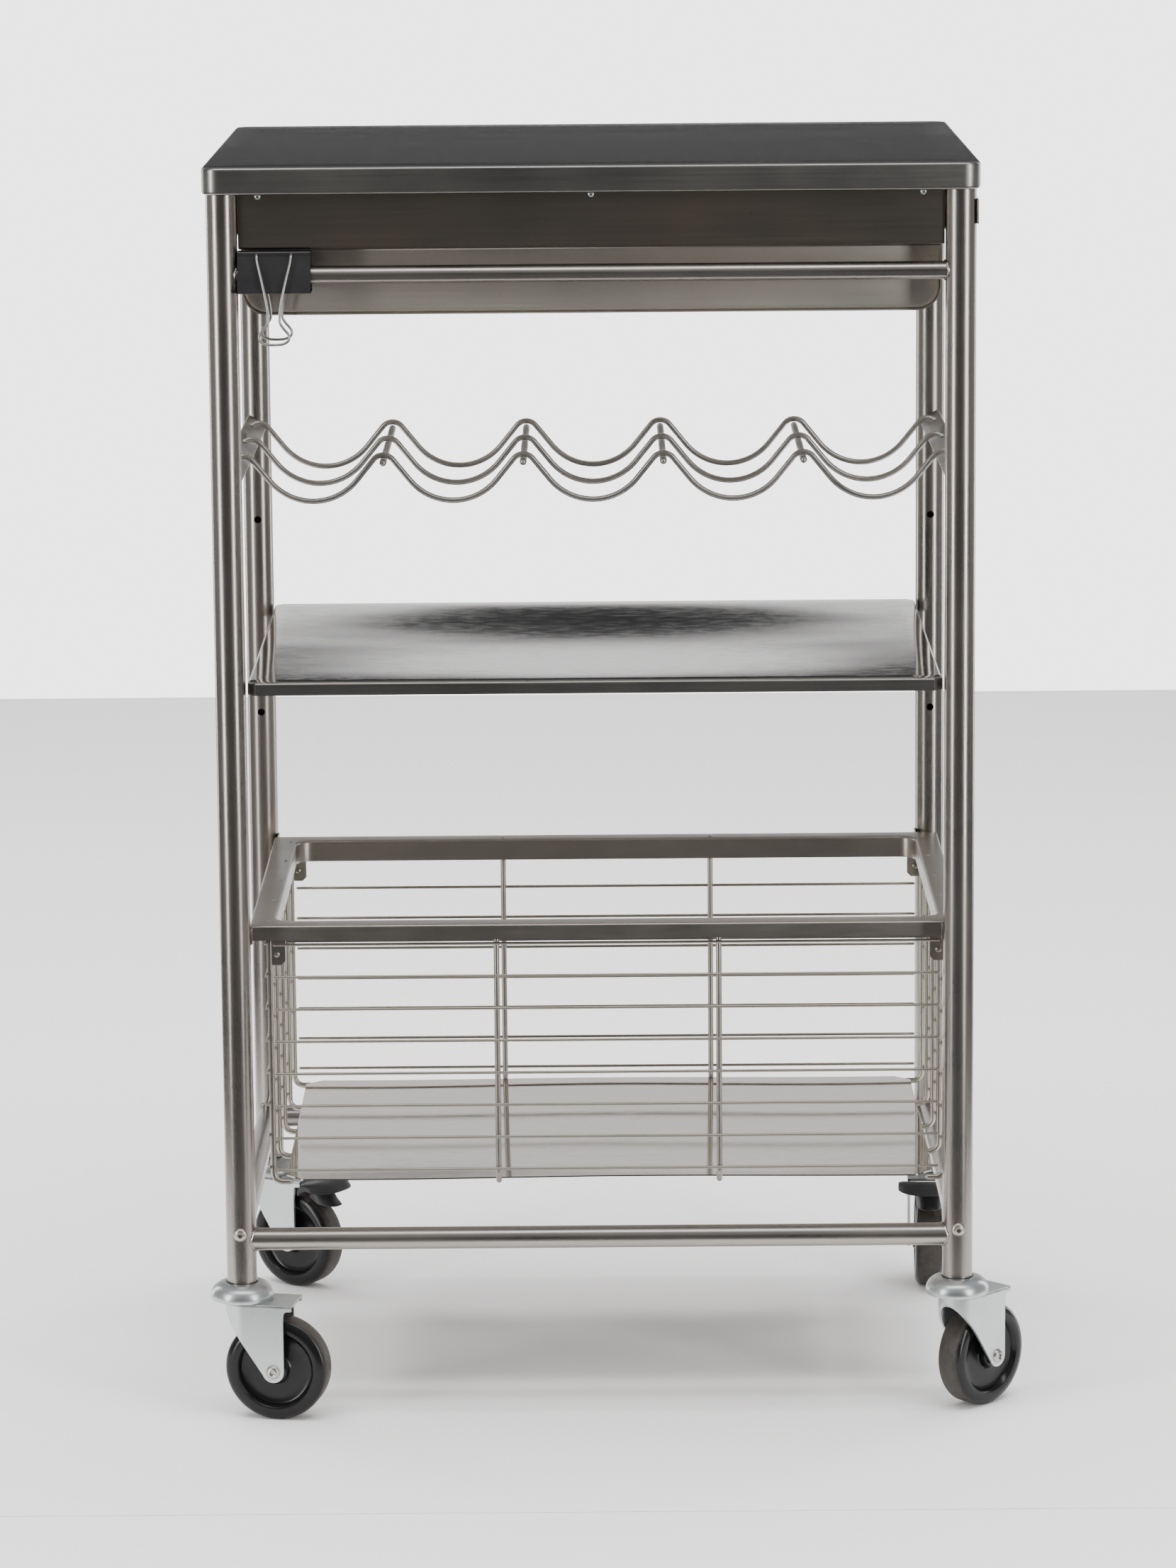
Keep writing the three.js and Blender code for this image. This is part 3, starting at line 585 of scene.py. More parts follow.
def sheetSides(line, thick):
    # the two faces of a sheet whose middle follows the line
    line = np.asarray(line, float)
    step = np.gradient(line, axis=0)
    step /= np.linalg.norm(step, axis=1)[:, None]
    normal = np.stack([-step[:, 1], step[:, 0]], -1) * thick / 2
    return line + normal, line - normal


def foldedStrip(line, thick, start, end, axis="x"):
    # a sheet folded along the line, carried straight from start to end along an axis
    one, two = sheetSides(line, thick)
    loop = np.concatenate([one, two[::-1]])
    n = len(loop)
    places = []
    for at in (start, end):
        column = np.full(n, float(at))
        places.append(np.stack([column, loop[:, 0], loop[:, 1]] if axis == "x"
                               else [loop[:, 0], column, loop[:, 1]], -1))
    faces = gridFaces(2, n)
    half = len(one)
    for base in (0, n):
        faces += [[base + i, base + i + 1, base + n - 2 - i, base + n - 1 - i] for i in range(half - 1)]
    return np.concatenate(places), faces


def rectanglePath(halfX, halfY, radius, centre=(0, 0), steps=6, cut=False, between=0):
    # corners are arcs, or straight cuts of that size, with a number of points between two corners
    cx, cy = centre
    radius = max(radius, 0.05)
    corners = [(halfX - radius, -halfY + radius, -90), (halfX - radius, halfY - radius, 0),
               (-halfX + radius, halfY - radius, 90), (-halfX + radius, -halfY + radius, 180)]
    count = 2 if cut else steps + 1
    arcs = [arc(cx + x, cy + y, radius, a, a + 90, count) for x, y, a in corners]
    sides = [np.linspace(arcs[i][-1], arcs[(i + 1) % 4][0], between + 2)[1:-1] for i in range(4)]
    return np.concatenate([part for pair in zip(arcs, sides) for part in pair])


def tray(halfX, halfY, corner, line, thick, centre=(0, 0), cut=False, rings=10, lift=None):
    # a sheet whose profile of (inset, z) goes round a rectangle; shrinking rings fill it across
    one, two = sheetSides(line, thick)
    profile = np.concatenate([one[::-1], two])
    loops = []
    for inset, z in profile:
        ring = rectanglePath(halfX - inset, halfY - inset, max(corner - inset, 0.3), centre, 6, cut,
                             40 if lift else 0)
        loops.append(np.column_stack([ring, np.full(len(ring), z)]))
    fills = []
    for loop in (loops[0], loops[-1]):
        middle = np.array([*centre, loop[0][2]])
        fills.append([middle + (loop - middle) * (1 - k / rings) for k in range(1, rings + 1)])
    rows = fills[0][::-1] + loops + fills[1]
    points = np.concatenate(rows)
    if lift:
        points[:, 2] += lift(points[:, 0], points[:, 1])
    return points, gridFaces(len(rows), len(loops[0]))


def block(low, high):
    # a box from its two far corners
    x0, y0, z0 = low
    x1, y1, z1 = high
    points = [(x, y, z) for z in (z0, z1) for x, y in ((x0, y0), (x1, y0), (x1, y1), (x0, y1))]
    return points, [(0, 3, 2, 1), (4, 5, 6, 7), (0, 1, 5, 4), (1, 2, 6, 5), (2, 3, 7, 6), (3, 0, 4, 7)]


def plate(outline, z0, z1):
    # a flat outline of (x, y) points between two heights
    outline = np.asarray(outline, float)
    n = len(outline)
    points = np.concatenate([np.column_stack([outline, np.full(n, z)]) for z in (z0, z1)])
    return points, cappedFaces(2, n)


def standing(part):
    # lays what was drawn in (x, y) with height z so that it stands in X and Z
    p, f = part
    return p[:, (0, 2, 1)], f


def bevel(obj, width, segments=3, angle=40):
    edge = obj.modifiers.new("edges", "BEVEL")
    edge.width = width * mm
    edge.segments = segments
    edge.limit_method = "ANGLE"
    edge.angle_limit = math.radians(angle)
    return obj


def nodeBox(name):
    low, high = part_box(name)
    return np.array(low) / mm, np.array(high) / mm


# ---- worktop ----
worktop = {"corner": 12.0, "hem": 12.0, "reach": 26.0, "sheet": 1.2, "bend": 1.9}


def makeWorktop(w):
    # hem, edge and top are one folded line carried round the rectangle
    low, high = nodeBox("worktop")
    half = (high - low) / 2
    t = w["sheet"]
    line = bentLine([(w["hem"], low[2] + t / 2), (t / 2, low[2] + t / 2), (t / 2, high[2] - t / 2),
                     (w["reach"], high[2] - t / 2)], w["bend"])
    part = tray(half[0], half[1], w["corner"], line, t)
    top = makePiece("worktop_sheet", *part, "worktopSteel", "frame", "worktop_steel", ["worktop"])
    # painted shade: the upright faces of the worktop get a darker colour
    paintUprightShade(top, "uprightShadeSteel")


makeWorktop(worktop)


# ---- posts ----
posts = {"wall": 1.2, "holeRadius": 2.7, "holes": (453.3, 602.6), "sides": 72}
corners = [(e, s) for e in ("front", "back") for s in ("left", "right")]


def makePost(end, side, p):
    # a turned ring of the wall, less a round hole at each spare shelf height
    node = f"post_{end}_{side}"
    low, high = nodeBox(node)
    radius = (high[0] - low[0]) / 2
    cx, cy = (low[0] + high[0]) / 2, (low[1] + high[1]) / 2
    inner = radius - p["wall"]
    z0, z1 = low[2], high[2]
    edge = z0 + 0.3
    rows = [(inner, edge), (radius - 0.3, z0), (radius, edge), (radius, z1), (inner, z1), (inner, edge)]
    post = makePiece(node + "_tube", *moved(lathe(rows, p["sides"]), (cx, cy, 0)), "postSteel",
                     "frame", "brushed_steel", [node], 40)
    inward = -np.sign(cy)
    holes = [tubeAlong([(cx, cy, z), (cx, cy + inward * (radius + 3), z)], p["holeRadius"], 24, False)
             for z in p["holes"]]
    points, faces = merged(*holes)
    mesh = bpy.data.meshes.new("holes")
    mesh.from_pydata((points * mm).tolist(), [], faces)
    cutter = bpy.data.objects.new("holes", mesh)
    bpy.context.scene.collection.objects.link(cutter)
    cut = post.modifiers.new("holes", "BOOLEAN")
    cut.object = cutter
    cut.solver = "EXACT"
    bpy.context.view_layer.update()
    result = bpy.data.meshes.new_from_object(post.evaluated_get(bpy.context.evaluated_depsgraph_get()))
    post.modifiers.clear()
    post.data = result
    bpy.data.objects.remove(cutter)


for end, side in corners:
    makePost(end, side, posts)
print("posts made")


# ---- tubes between the posts ----
weld = {"lift": 0.25, "inset": 0.2, "radius": 0.8, "ripple": 0.15, "ripples": 9}


def coping(radius, postRadius, offset):
    # how far a tube's end stops short of the post's axis at each point round it
    return np.sqrt(np.maximum(postRadius ** 2 - (radius * offset) ** 2, 0))


def crossTube(node, look, along="x", sides=48):
    # rings whose ends follow the coping, with a rippled weld bead round each end
    low, high = nodeBox(node)
    radius = (high[2] - low[2]) / 2
    axis = 0 if along == "x" else 1
    other = 1 - axis
    centre = (low + high) / 2
    postLow, postHigh = nodeBox("post_back_right")
    postRadius = (postHigh[0] - postLow[0]) / 2
    postPlace = (postLow[axis] + postHigh[axis]) / 2
    angle = np.arange(sides) * tau / sides
    stop = postPlace - coping(radius, postRadius, np.cos(angle))
    rows = np.zeros((24, sides, 3))
    rows[:, :, axis] = stop * np.linspace(-1, 1, 24)[:, None]
    rows[:, :, other] = centre[other] + radius * np.cos(angle)
    rows[:, :, 2] = centre[2] + radius * np.sin(angle)
    makePiece(node + "_tube", rows.reshape(-1, 3), cappedFaces(24, sides), look, "frame", "brushed_steel",
              [node], 50)
    closed = np.append(angle, angle[:2])
    beads = []
    for sign in (-1, 1):
        ring = np.zeros((len(closed), 3))
        ring[:, axis] = sign * (postPlace - coping(radius, postRadius, np.cos(closed)) - weld["inset"])
        ring[:, other] = centre[other] + (radius + weld["lift"]) * np.cos(closed)
        ring[:, 2] = centre[2] + (radius + weld["lift"]) * np.sin(closed)
        beads.append(tubeAlong(ring, weld["radius"] + weld["ripple"] * np.sin(closed * weld["ripples"]), 8))
    makePiece(node + "_welds", *merged(*beads), look, "frame", "brushed_steel")


crossTube("towel_rail", "railSteel")
crossTube("lower_rail_front", "railSteel")
crossTube("lower_rail_back", "railSteel")
crossTube("side_tube_left", "sideSteel", "y")
crossTube("side_tube_right", "sideSteel", "y")
print("tubes made")


# ---- aprons ----
apron = {"sheet": 1.2, "bend": 1.6, "lip": 9.0, "gap": 0.4}


def makeFrontApron(a):
    # an upright strip with a lip along its lower edge, and a small wall at each end
    low, high = nodeBox("apron_front")
    t = a["sheet"]
    y0 = low[1] + t / 2
    line = bentLine([(low[1] + a["lip"], low[2] + t / 2), (y0, low[2] + t / 2), (y0, high[2])], a["bend"])
    strip = foldedStrip(line, t, low[0] + t, high[0] - t)
    ends = []
    for x0, x1 in ((low[0], low[0] + t), (high[0] - t, high[0])):
        ends.append(block((x0, low[1] + a["gap"], low[2] + a["gap"]), (x1, low[1] + a["lip"], high[2])))
    makePiece("apron_front_strip", *merged(strip, *ends), "apronSteel", "frame", "brushed_steel",
              ["apron_front"])


def makeSideApron(side, a):
    # an angle strip from front to back, with its lip turned inwards
    node = f"apron_{side}"
    low, high = nodeBox(node)
    t = a["sheet"]
    sign = 1 if side == "right" else -1
    outer = high[0] if side == "right" else low[0]
    inner = low[0] if side == "right" else high[0]
    line = bentLine([(inner, low[2] + t / 2), (outer - sign * t / 2, low[2] + t / 2),
                     (outer - sign * t / 2, high[2])], a["bend"])
    makePiece(node + "_strip", *foldedStrip(line, t, low[1], high[1], "y"), "apronSteel", "frame",
              "brushed_steel", [node])


makeFrontApron(apron)
makeSideApron("left", apron)
makeSideApron("right", apron)

screws = {"places": (-231.7, 0.0, 230.9), "z": 878.4, "radius": 2.3, "height": 1.2}


def screwHead(place, radius, height, direction, recess=0.5):
    # a low dome with a round recess, turned about the direction it faces
    rim = arc(0, 0, 1, 0, 70, 6)
    profile = [(0, 0)] + [(radius * c, height * s) for c, s in rim]
    profile += [(radius * recess, height), (radius * recess * 0.9, height * 0.4), (0, height * 0.35)]
    p, f = lathe(profile, 24)
    turn = Vector((0, 0, 1)).rotation_difference(Vector(direction)).to_matrix()
    return p @ np.array(turn).T + np.asarray(place, float), f


def makeScrews(s):
    # three low heads just under the worktop
    face = nodeBox("apron_front")[0][1]
    heads = [screwHead((x, face, s["z"]), s["radius"], s["height"], (0, -1, 0)) for x in s["places"]]
    makePiece("apron_screws", *merged(*heads), "zinc", "frame", "zinc")


makeScrews(screws)

bolts = {"z": 136.5, "radius": 5.0, "height": 2.6}


def makeBolts(b):
    # one button head on the outer face of each post
    heads = []
    for end, side in corners:
        low, high = nodeBox(f"post_{end}_{side}")
        out = -1 if end == "front" else 1
        face = low[1] if end == "front" else high[1]
        place = ((low[0] + high[0]) / 2, face - out * 0.3, b["z"])
        heads.append(screwHead(place, b["radius"], b["height"], (0, out, 0), 0.42))
    makePiece("lower_bolts", *merged(*heads), "nickel", "frame", "nickel_wire")


makeBolts(bolts)

strap = {"z": (855.7, 872.9), "thick": 1.3, "y": (-190.0, -178.0)}


def makeStrap(s):
    # a thin plate on the side of the front right post
    high = nodeBox("post_front_right")[1]
    part = block((high[0] - 0.2, s["y"][0], s["z"][0]), (high[0] + s["thick"], s["y"][1], s["z"][1]))
    bevel(makePiece("post_strap", *part, "rimSteel", "frame", "brushed_steel"), 0.5)


makeStrap(strap)
print("aprons and fasteners made")


# ---- shelf ----
shelf = {"corner": 6.0, "rim": 9.0, "reach": 14.0, "sheet": 1.2, "bend": 1.3, "dish": 2.3}


def makeShelf(s):
    # a turned-down rim carried round the rectangle, under a slightly dished face
    low, high = nodeBox("shelf")
    half = (high - low) / 2
    t = s["sheet"]
    top = high[2] - t / 2
    line = bentLine([(t / 2, high[2] - s["rim"]), (t / 2, top), (s["reach"], top)], s["bend"])

    def dish(x, y):
        # sinks towards the middle as a product of two smooth bowls
        u, v = np.clip(x / half[0], -1, 1), np.clip(y / half[1], -1, 1)
        return -s["dish"] * (1 - u ** 2) ** 2 * (1 - v ** 2) ** 2

    part = tray(half[0], half[1], s["corner"], line, t, cut=True, rings=40, lift=dish)
    face = makePiece("shelf_sheet", *part, "shelfSteel", "frame", "polished_steel", ["shelf"])
    # painted shade: the upright rim faces of the shelf get a darker colour
    paintUprightShade(face, "uprightShadeSteel")


makeShelf(shelf)


# ---- bottle rack ----
rack = {"pitch": 100.3, "crest": 686.0, "trough": 653.0, "crestRadius": 9.0, "troughRadius": 40.0,
        "radius": 2.05}


def waveLine(r, endX):
    # arcs in the troughs and over the crests, joined by straight flanks whose slope is found by halving
    sumR = r["crestRadius"] + r["troughRadius"]
    height, halfPitch = r["crest"] - r["trough"], r["pitch"] / 2
    low, high = 0.2, 1.4
    for _ in range(60):
        slope = (low + high) / 2
        flank = (height - sumR * (1 - math.cos(slope))) / math.sin(slope)
        if sumR * math.sin(slope) + flank * math.cos(slope) > halfPitch:
            low = slope
        else:
            high = slope
    degrees = math.degrees(slope)
    halfWave = np.concatenate([
        arc(0, r["trough"] + r["troughRadius"], r["troughRadius"], -90, -90 + degrees, 14),
        arc(halfPitch, r["crest"] - r["crestRadius"], r["crestRadius"], 90 + degrees, 90, 8)])
    whole = np.concatenate([halfWave, (halfWave[::-1] * (-1, 1) + (r["pitch"], 0))[1:]])
    waves = np.concatenate([whole + (k * r["pitch"], 0) for k in range(-3, 4)])
    keep = waves[(waves[:, 0] >= -endX) & (waves[:, 0] <= endX)]
    return keep[np.concatenate([[True], np.linalg.norm(np.diff(keep, axis=0), axis=1) > 0.01])]


def makeRackWire(node, r):
    # a round wire along the wave line, with short level ends on the end bars
    low, high = nodeBox(node)
    y = (low[1] + high[1]) / 2
    line = waveLine(r, 2.5 * r["pitch"] + 0.5)
    tail = high[0] - 0.6
    ends = [(tail - 2.4, r["crest"] - 0.5), (tail - 0.8, r["crest"] - 1.4)]
    left = np.array([(-x, z) for x, z in ends[::-1]])
    line = np.concatenate([left, line, np.array(ends)])
    path = np.column_stack([line[:, 0], np.full(len(line), y), line[:, 1]])
    makePiece(node + "_round", *tubeAlong(path, r["radius"], 16), "brightWire", "frame", "nickel_wire",
              [node], 60)


def makeRackRod(node):
    # a straight round rod from front to back under one crest
    low, high = nodeBox(node)
    cx, cz = (low[0] + high[0]) / 2, (low[2] + high[2]) / 2
    radius = (high[0] - low[0]) / 2
    path = [(cx, y, cz + 0.6) for y in np.linspace(low[1] + radius, high[1] - radius, 6)]
    makePiece(node + "_round", *tubeAlong(path, radius, 18), "brightWire", "frame", "nickel_wire",
              [node], 60)


rackBar = {"width": 17.0, "thick": 2.0, "tilt": 41.0, "edge": 0.5}


def makeRackBar(side, b):
    # a flat bar with round ends, sloping up towards the outside
    node = f"rack_end_bar_{side}"
    low, high = nodeBox(node)
    centre = (low + high) / 2
    sign = 1 if side == "right" else -1
    halfWidth, halfThick, reach = b["width"] / 2, b["thick"] / 2, (high[1] - low[1]) / 2
    outline = np.concatenate([arc(0, reach - halfWidth, halfWidth, 0, 180, 13),
                              arc(0, -reach + halfWidth, halfWidth, 180, 360, 13)])
    p, f = plate(outline, -halfThick, halfThick)
    a = math.radians(b["tilt"])
    x = p[:, 0] * math.cos(a) - p[:, 2] * math.sin(a)
    z = p[:, 0] * math.sin(a) + p[:, 2] * math.cos(a)
    p = np.column_stack([centre[0] + sign * x, centre[1] + p[:, 1], centre[2] + z])
    bevel(makePiece(node + "_flat", p, f, "barSteel", "frame", "brushed_steel", [node]), b["edge"])


for node in ("rack_wire_front", "rack_wire_middle", "rack_wire_back"):
    makeRackWire(node, rack)
for k in range(4):
    makeRackRod(f"rack_rod_{k + 1}")
makeRackBar("left", rackBar)
makeRackBar("right", rackBar)
print("rack made")


# ---- basket ----
basket = {"flange": 18.0, "face": 11.0, "lip": 16.0, "sheet": 1.0, "bend": 1.3, "innerCorner": 12.0,
          "wire": 1.05, "rod": 2.1, "topWire": 342.9, "step": 23.7, "wires": 8, "sideRods": 5,
          "rodInset": 6.0, "footBend": 7.0, "hook": 5.0, "longRod": 79.5, "longBend": 9.0}


def makeRim(b):
    # an upside-down channel carried round a rectangle, outer face short, inner lip long
    low, high = nodeBox("basket_rim")
    half, centre = (high - low) / 2, (high + low) / 2
    t, top = b["sheet"], high[2]
    line = bentLine([(t / 2, top - b["face"]), (t / 2, top - t / 2), (b["flange"] - t / 2, top - t / 2),
                     (b["flange"] - t / 2, top - b["lip"])], b["bend"])
    one, two = sheetSides(line, t)
    loop = np.concatenate([one, two[::-1]])
    rows = []
    for inset, z in np.concatenate([loop, loop[:1]]):
        share = inset / b["flange"]
        ring = rectanglePath(half[0] - inset, half[1] - inset, 1.2 + share * b["innerCorner"],
                             (centre[0], centre[1]))
        rows.append(np.column_stack([ring, np.full(len(ring), z)]))
    part = np.concatenate(rows), gridFaces(len(rows), len(rows[0]))
    makePiece("basket_rim_channel", *part, "rimSteel", "basket", "brushed_steel", ["basket_rim"])


def wallRods(name, b, rodPaths, wirePaths, node):
    # thick upright rods and thin level wires of one wall
    parts = [tubeAlong(path, b["rod"], 12) for path in rodPaths]
    parts += [tubeAlong(path, b["wire"], 8) for path in wirePaths]
    makePiece(name, *merged(*parts), "nickel", "basket", "nickel_wire", [node], 60)


def makeEndWall(side, b):
    # level wires only, one step apart; the long rods carry them
    node = f"basket_wall_{side}"
    low, high = nodeBox(node)
    wireY = low[1] + b["wire"] if side == "front" else high[1] - b["wire"]
    x0, x1 = low[0] + b["wire"], high[0] - b["wire"]
    wires = []
    for k in range(b["wires"]):
        z = b["topWire"] - k * b["step"]
        wires.append([(x, wireY, z) for x in np.linspace(x0, x1, 8)])
    wallRods(node + "_wires", b, [], wires, node)


def makeSideWall(side, b):
    # upright rods evenly from front to back, with level wires outside them
    node = f"basket_wall_{side}"
    low, high = nodeBox(node)
    sign = 1 if side == "right" else -1
    wireX = high[0] - b["wire"] if side == "right" else low[0] + b["wire"]
    rodX = low[0] + b["rod"] if side == "right" else high[0] - b["rod"]
    top = high[2]
    rods, wires = [], []
    for y in np.linspace(low[1] + b["rodInset"], high[1] - b["rodInset"], b["sideRods"]):
        rods.append(basketFoot(rodX, y, sign, low[2] + b["rod"], top, b))
    for k in range(b["wires"]):
        z = b["topWire"] - k * b["step"]
        wires.append([(wireX, y, z) for y in np.linspace(low[1], high[1], 6)])
    wallRods(node + "_wires", b, rods, wires, node)


def basketFoot(x, y, sign, bottom, top, b):
    # straight down, round a bend and inwards under the loose sheet
    bend = b["footBend"]
    down = [(x, y, z) for z in np.linspace(top, bottom + bend, 10)]
    turn = [(x - sign * (bend - bend * math.cos(a)), y, bottom + bend - bend * math.sin(a))
            for a in np.linspace(0.2, math.pi / 2, 7)]
    return down + turn + [(x - sign * (bend + b["hook"]), y, bottom)]


def makeFloorRods(b):
    # each long rod goes down the front wall, across the floor and up the back wall
    low, high = nodeBox("basket_floor_rods")
    sheetLow = nodeBox("basket_sheet")[0]
    top = nodeBox("basket_wall_front")[1][2]
    front = nodeBox("basket_wall_front")[1][1] - b["rod"]
    back = nodeBox("basket_wall_back")[0][1] + b["rod"]
    floorZ = sheetLow[2] - 0.3 - b["rod"]
    centre = (low[0] + high[0]) / 2
    parts = []
    for x in (centre - b["longRod"], centre + b["longRod"]):
        bends = [(front, top), (front, floorZ), (back, floorZ), (back, top)]
        line = bentLine(bends, b["longBend"], 8)
        path = np.column_stack([np.full(len(line), x), line[:, 0], line[:, 1]])
        parts.append(tubeAlong(denser(path), b["rod"], 14))
    makePiece("basket_long_rods", *merged(*parts), "nickel", "basket", "nickel_wire",
              ["basket_floor_rods"], 60)


bracket = {"width": 12.6, "height": 19.0, "clip": 3.0, "thick": 1.2, "rivet": 2.2, "inset": 3.0,
           "overlap": 3.0, "drop": 8.0}


def makeBrackets(k):
    # a plate with clipped lower corners and a rivet at each corner of the rim
    rimLow, rimHigh = nodeBox("basket_rim")
    lip = rimHigh[2] - basket["lip"]
    leftX = nodeBox("basket_wall_left")[1][0]
    rightX = nodeBox("basket_wall_right")[0][0]
    w = k["width"] / 2
    outline = [(-w, 0), (-w, -k["height"] + k["clip"]), (-w + k["clip"], -k["height"]),
               (w - k["clip"], -k["height"]), (w, -k["height"] + k["clip"]), (w, 0)]
    plates, rivets = [], []
    for y in (rimLow[1] + 14.0, rimHigh[1] - 15.0):
        for x in (leftX + k["inset"], rightX - k["inset"]):
            p, f = standing(plate(outline, 0, k["thick"]))
            plates.append((p + (x, y, lip + k["overlap"]), f))
            rivets.append(screwHead((x, y, lip - k["drop"]), k["rivet"], 1.0, (0, -1, 0), 0.3))
    bevel(makePiece("basket_brackets", *merged(*plates), "rimSteel", "basket", "brushed_steel"), 0.3, 2)
    makePiece("basket_rivets", *merged(*rivets), "nickel", "basket", "nickel_wire")


bottomSheet = {"cut": 12.0, "warp": 0.9}


def makeBottomSheet(s):
    # a flat sheet with cut corners, bent by a slight wave
    low, high = nodeBox("basket_sheet")
    half, centre = (high - low) / 2, (high + low) / 2

    def warp(x, y):
        # a gentle sag between the rods and a lifted front edge
        u, v = (x - centre[0]) / half[0], (y - centre[1]) / half[1]
        return s["warp"] * (np.cos(u * 4.2) * 0.5 + 0.35 * np.maximum(-v, 0) ** 3 * np.sin(u * 3.0 + 0.6))

    line = [(0.5, centre[2]), (6, centre[2]), (14, centre[2])]
    thick = high[2] - low[2]
    part = tray(half[0], half[1], s["cut"] + 0.5, line, thick, (centre[0], centre[1]), True, 40, warp)
    makePiece("basket_bottom_sheet", *part, "sheetSteel", "basket_sheet", "polished_steel",
              ["basket_sheet"])


def makeBasketRail(side):
    # a flat bar on edge with slightly broken edges
    node = f"basket_rail_{side}"
    bar = block(*nodeBox(node))
    bevel(makePiece(node + "_bar", *bar, "barSteel", "frame", "brushed_steel", [node]), 0.25, 2)


makeRim(basket)
makeEndWall("front", basket)
makeEndWall("back", basket)
makeSideWall("left", basket)
makeSideWall("right", basket)
makeFloorRods(basket)
makeBrackets(bracket)
makeBottomSheet(bottomSheet)
makeBasketRail("left")
makeBasketRail("right")
print("basket made")


# ---- drawer ----
drawer = {"sheet": 1.0, "radius": 17.0, "flange": 12.0, "bend": 1.6, "lowEnd": 842.0, "edge": 4.0}


def roundedPlate(outline, y0, y1, radius):
    # an outline in X and Z between two depths, whose near edge is a quarter round
    outline = np.asarray(outline, float)
    ahead, behind = np.roll(outline, -1, 0), np.roll(outline, 1, 0)
    along = ahead - behind
    along /= np.linalg.norm(along, axis=1)[:, None]
    inward = np.column_stack([-along[:, 1], along[:, 0]])
    if ((outline.mean(0) - outline) * inward).sum() < 0:
        inward = -inward
    rows = [np.column_stack([outline[:, 0], np.full(len(outline), y1), outline[:, 1]])]
    for a in np.linspace(0, math.pi / 2, 7):
        ring = outline + inward * radius * (1 - math.cos(a))
        depth = np.full(len(ring), y0 + radius * (1 - math.sin(a)))
        rows.append(np.column_stack([ring[:, 0], depth, ring[:, 1]]))
    return np.concatenate(rows), cappedFaces(len(rows), len(outline))


def makeDrawerTray(d):
    # a trough with round lower corners, closed by a rounded wall in front and a flat one behind
    low, high = nodeBox("drawer_tray")
    t = d["sheet"]
    x, z0, z1 = high[0] - t / 2, low[2] + t / 2, high[2] - t / 2
    corner = arc(x - d["radius"], z0 + d["radius"], d["radius"], 0, -90, 10)
    flange = bentLine([(x - d["flange"], z1), (x, z1), (x, z0 + d["radius"] + 8)], d["bend"])
    right = np.concatenate([flange, corner])
    line = np.concatenate([right, (right * (-1, 1))[::-1]])
    trough = foldedStrip(line, t, low[1], high[1], "y")
    under = np.concatenate([[(x, d["lowEnd"])], corner])
    outline = np.concatenate([under, (under * (-1, 1))[::-1]])
    ends = [roundedPlate(outline, low[1] - 0.2, low[1] + d["edge"], d["edge"]),
            standing(plate(outline, high[1] - 0.8, high[1]))]
    makePiece("drawer_trough", *trough, "trayBright", "drawer", "brushed_steel", ["drawer_tray"])
    bevel(makePiece("drawer_end_walls", *merged(*ends), "trayBright", "drawer", "brushed_steel"), 0.6)


drawerFace = {"sheet": 1.2, "corner": 2.0, "reach": 16.0, "bend": 1.8}


def makeDrawerFront(d):
    # a shallow tray that stands on edge with its face outwards
    low, high = nodeBox("drawer_front")
    t = d["sheet"]
    half = (high - low) / 2
    centre = (high + low) / 2
    face = half[1] * 2 - t / 2
    line = bentLine([(t / 2, 0), (t / 2, face), (d["reach"], face)], d["bend"])
    p, f = tray(half[0], half[2], d["corner"], line, t, rings=6)
    p = np.column_stack([p[:, 0] + centre[0], low[1] + p[:, 2], p[:, 1] + centre[2]])
    makePiece("drawer_face", p, f, "railSteel", "drawer", "brushed_steel", ["drawer_front"])


drawerHandle = {"radius": 4.0, "bend": 9.0, "inset": 8.0}


def makeDrawerHandle(h):
    # a round bar bowed out from the drawer's face
    low, high = nodeBox("drawer_handle")
    z = (low[2] + high[2]) / 2
    y = high[1] - h["radius"]
    x = high[0] - h["inset"]
    line = bentLine([(-x, low[1]), (-x, y), (x, y), (x, low[1])], h["bend"], 10)
    path = np.column_stack([line[:, 0], line[:, 1], np.full(len(line), z)])
    bow = tubeAlong(denser(path), h["radius"], 24, False)
    makePiece("drawer_bow_handle", *bow, "railSteel", "drawer",
              "brushed_steel", ["drawer_handle"], 60)


runner = {"sheet": 1.2, "bend": 1.5, "web": 230.6, "lowerEdge": 242.4, "upperEdge": 218.4}


def makeRunner(side, r):
    # a Z-shaped strip: the upper flange turns in and the lower one turns out
    node = f"drawer_runner_{side}"
    low, high = nodeBox(node)
    sign = 1 if side == "right" else -1
    t = r["sheet"]
    web, bottom, top = sign * r["web"], low[2] + t / 2, high[2] - t / 2
    line = bentLine([(sign * r["lowerEdge"], bottom), (web, bottom),
                     (web, top), (sign * r["upperEdge"], top)], r["bend"])
    makePiece(node + "_fold", *foldedStrip(line, t, low[1], high[1], "y"), "barSteel", "frame",
              "brushed_steel", [node])


makeDrawerTray(drawer)
makeDrawerFront(drawerFace)
makeDrawerHandle(drawerHandle)
makeRunner("left", runner)
makeRunner("right", runner)
print("drawer made")


# ---- casters ----
caster = {"trail": 26.0, "wheelRadius": 37.5, "half": 16.5,
          "headings": {"front_left": -11.5, "front_right": 45.9, "back_left": -33.4, "back_right": -92.0}}

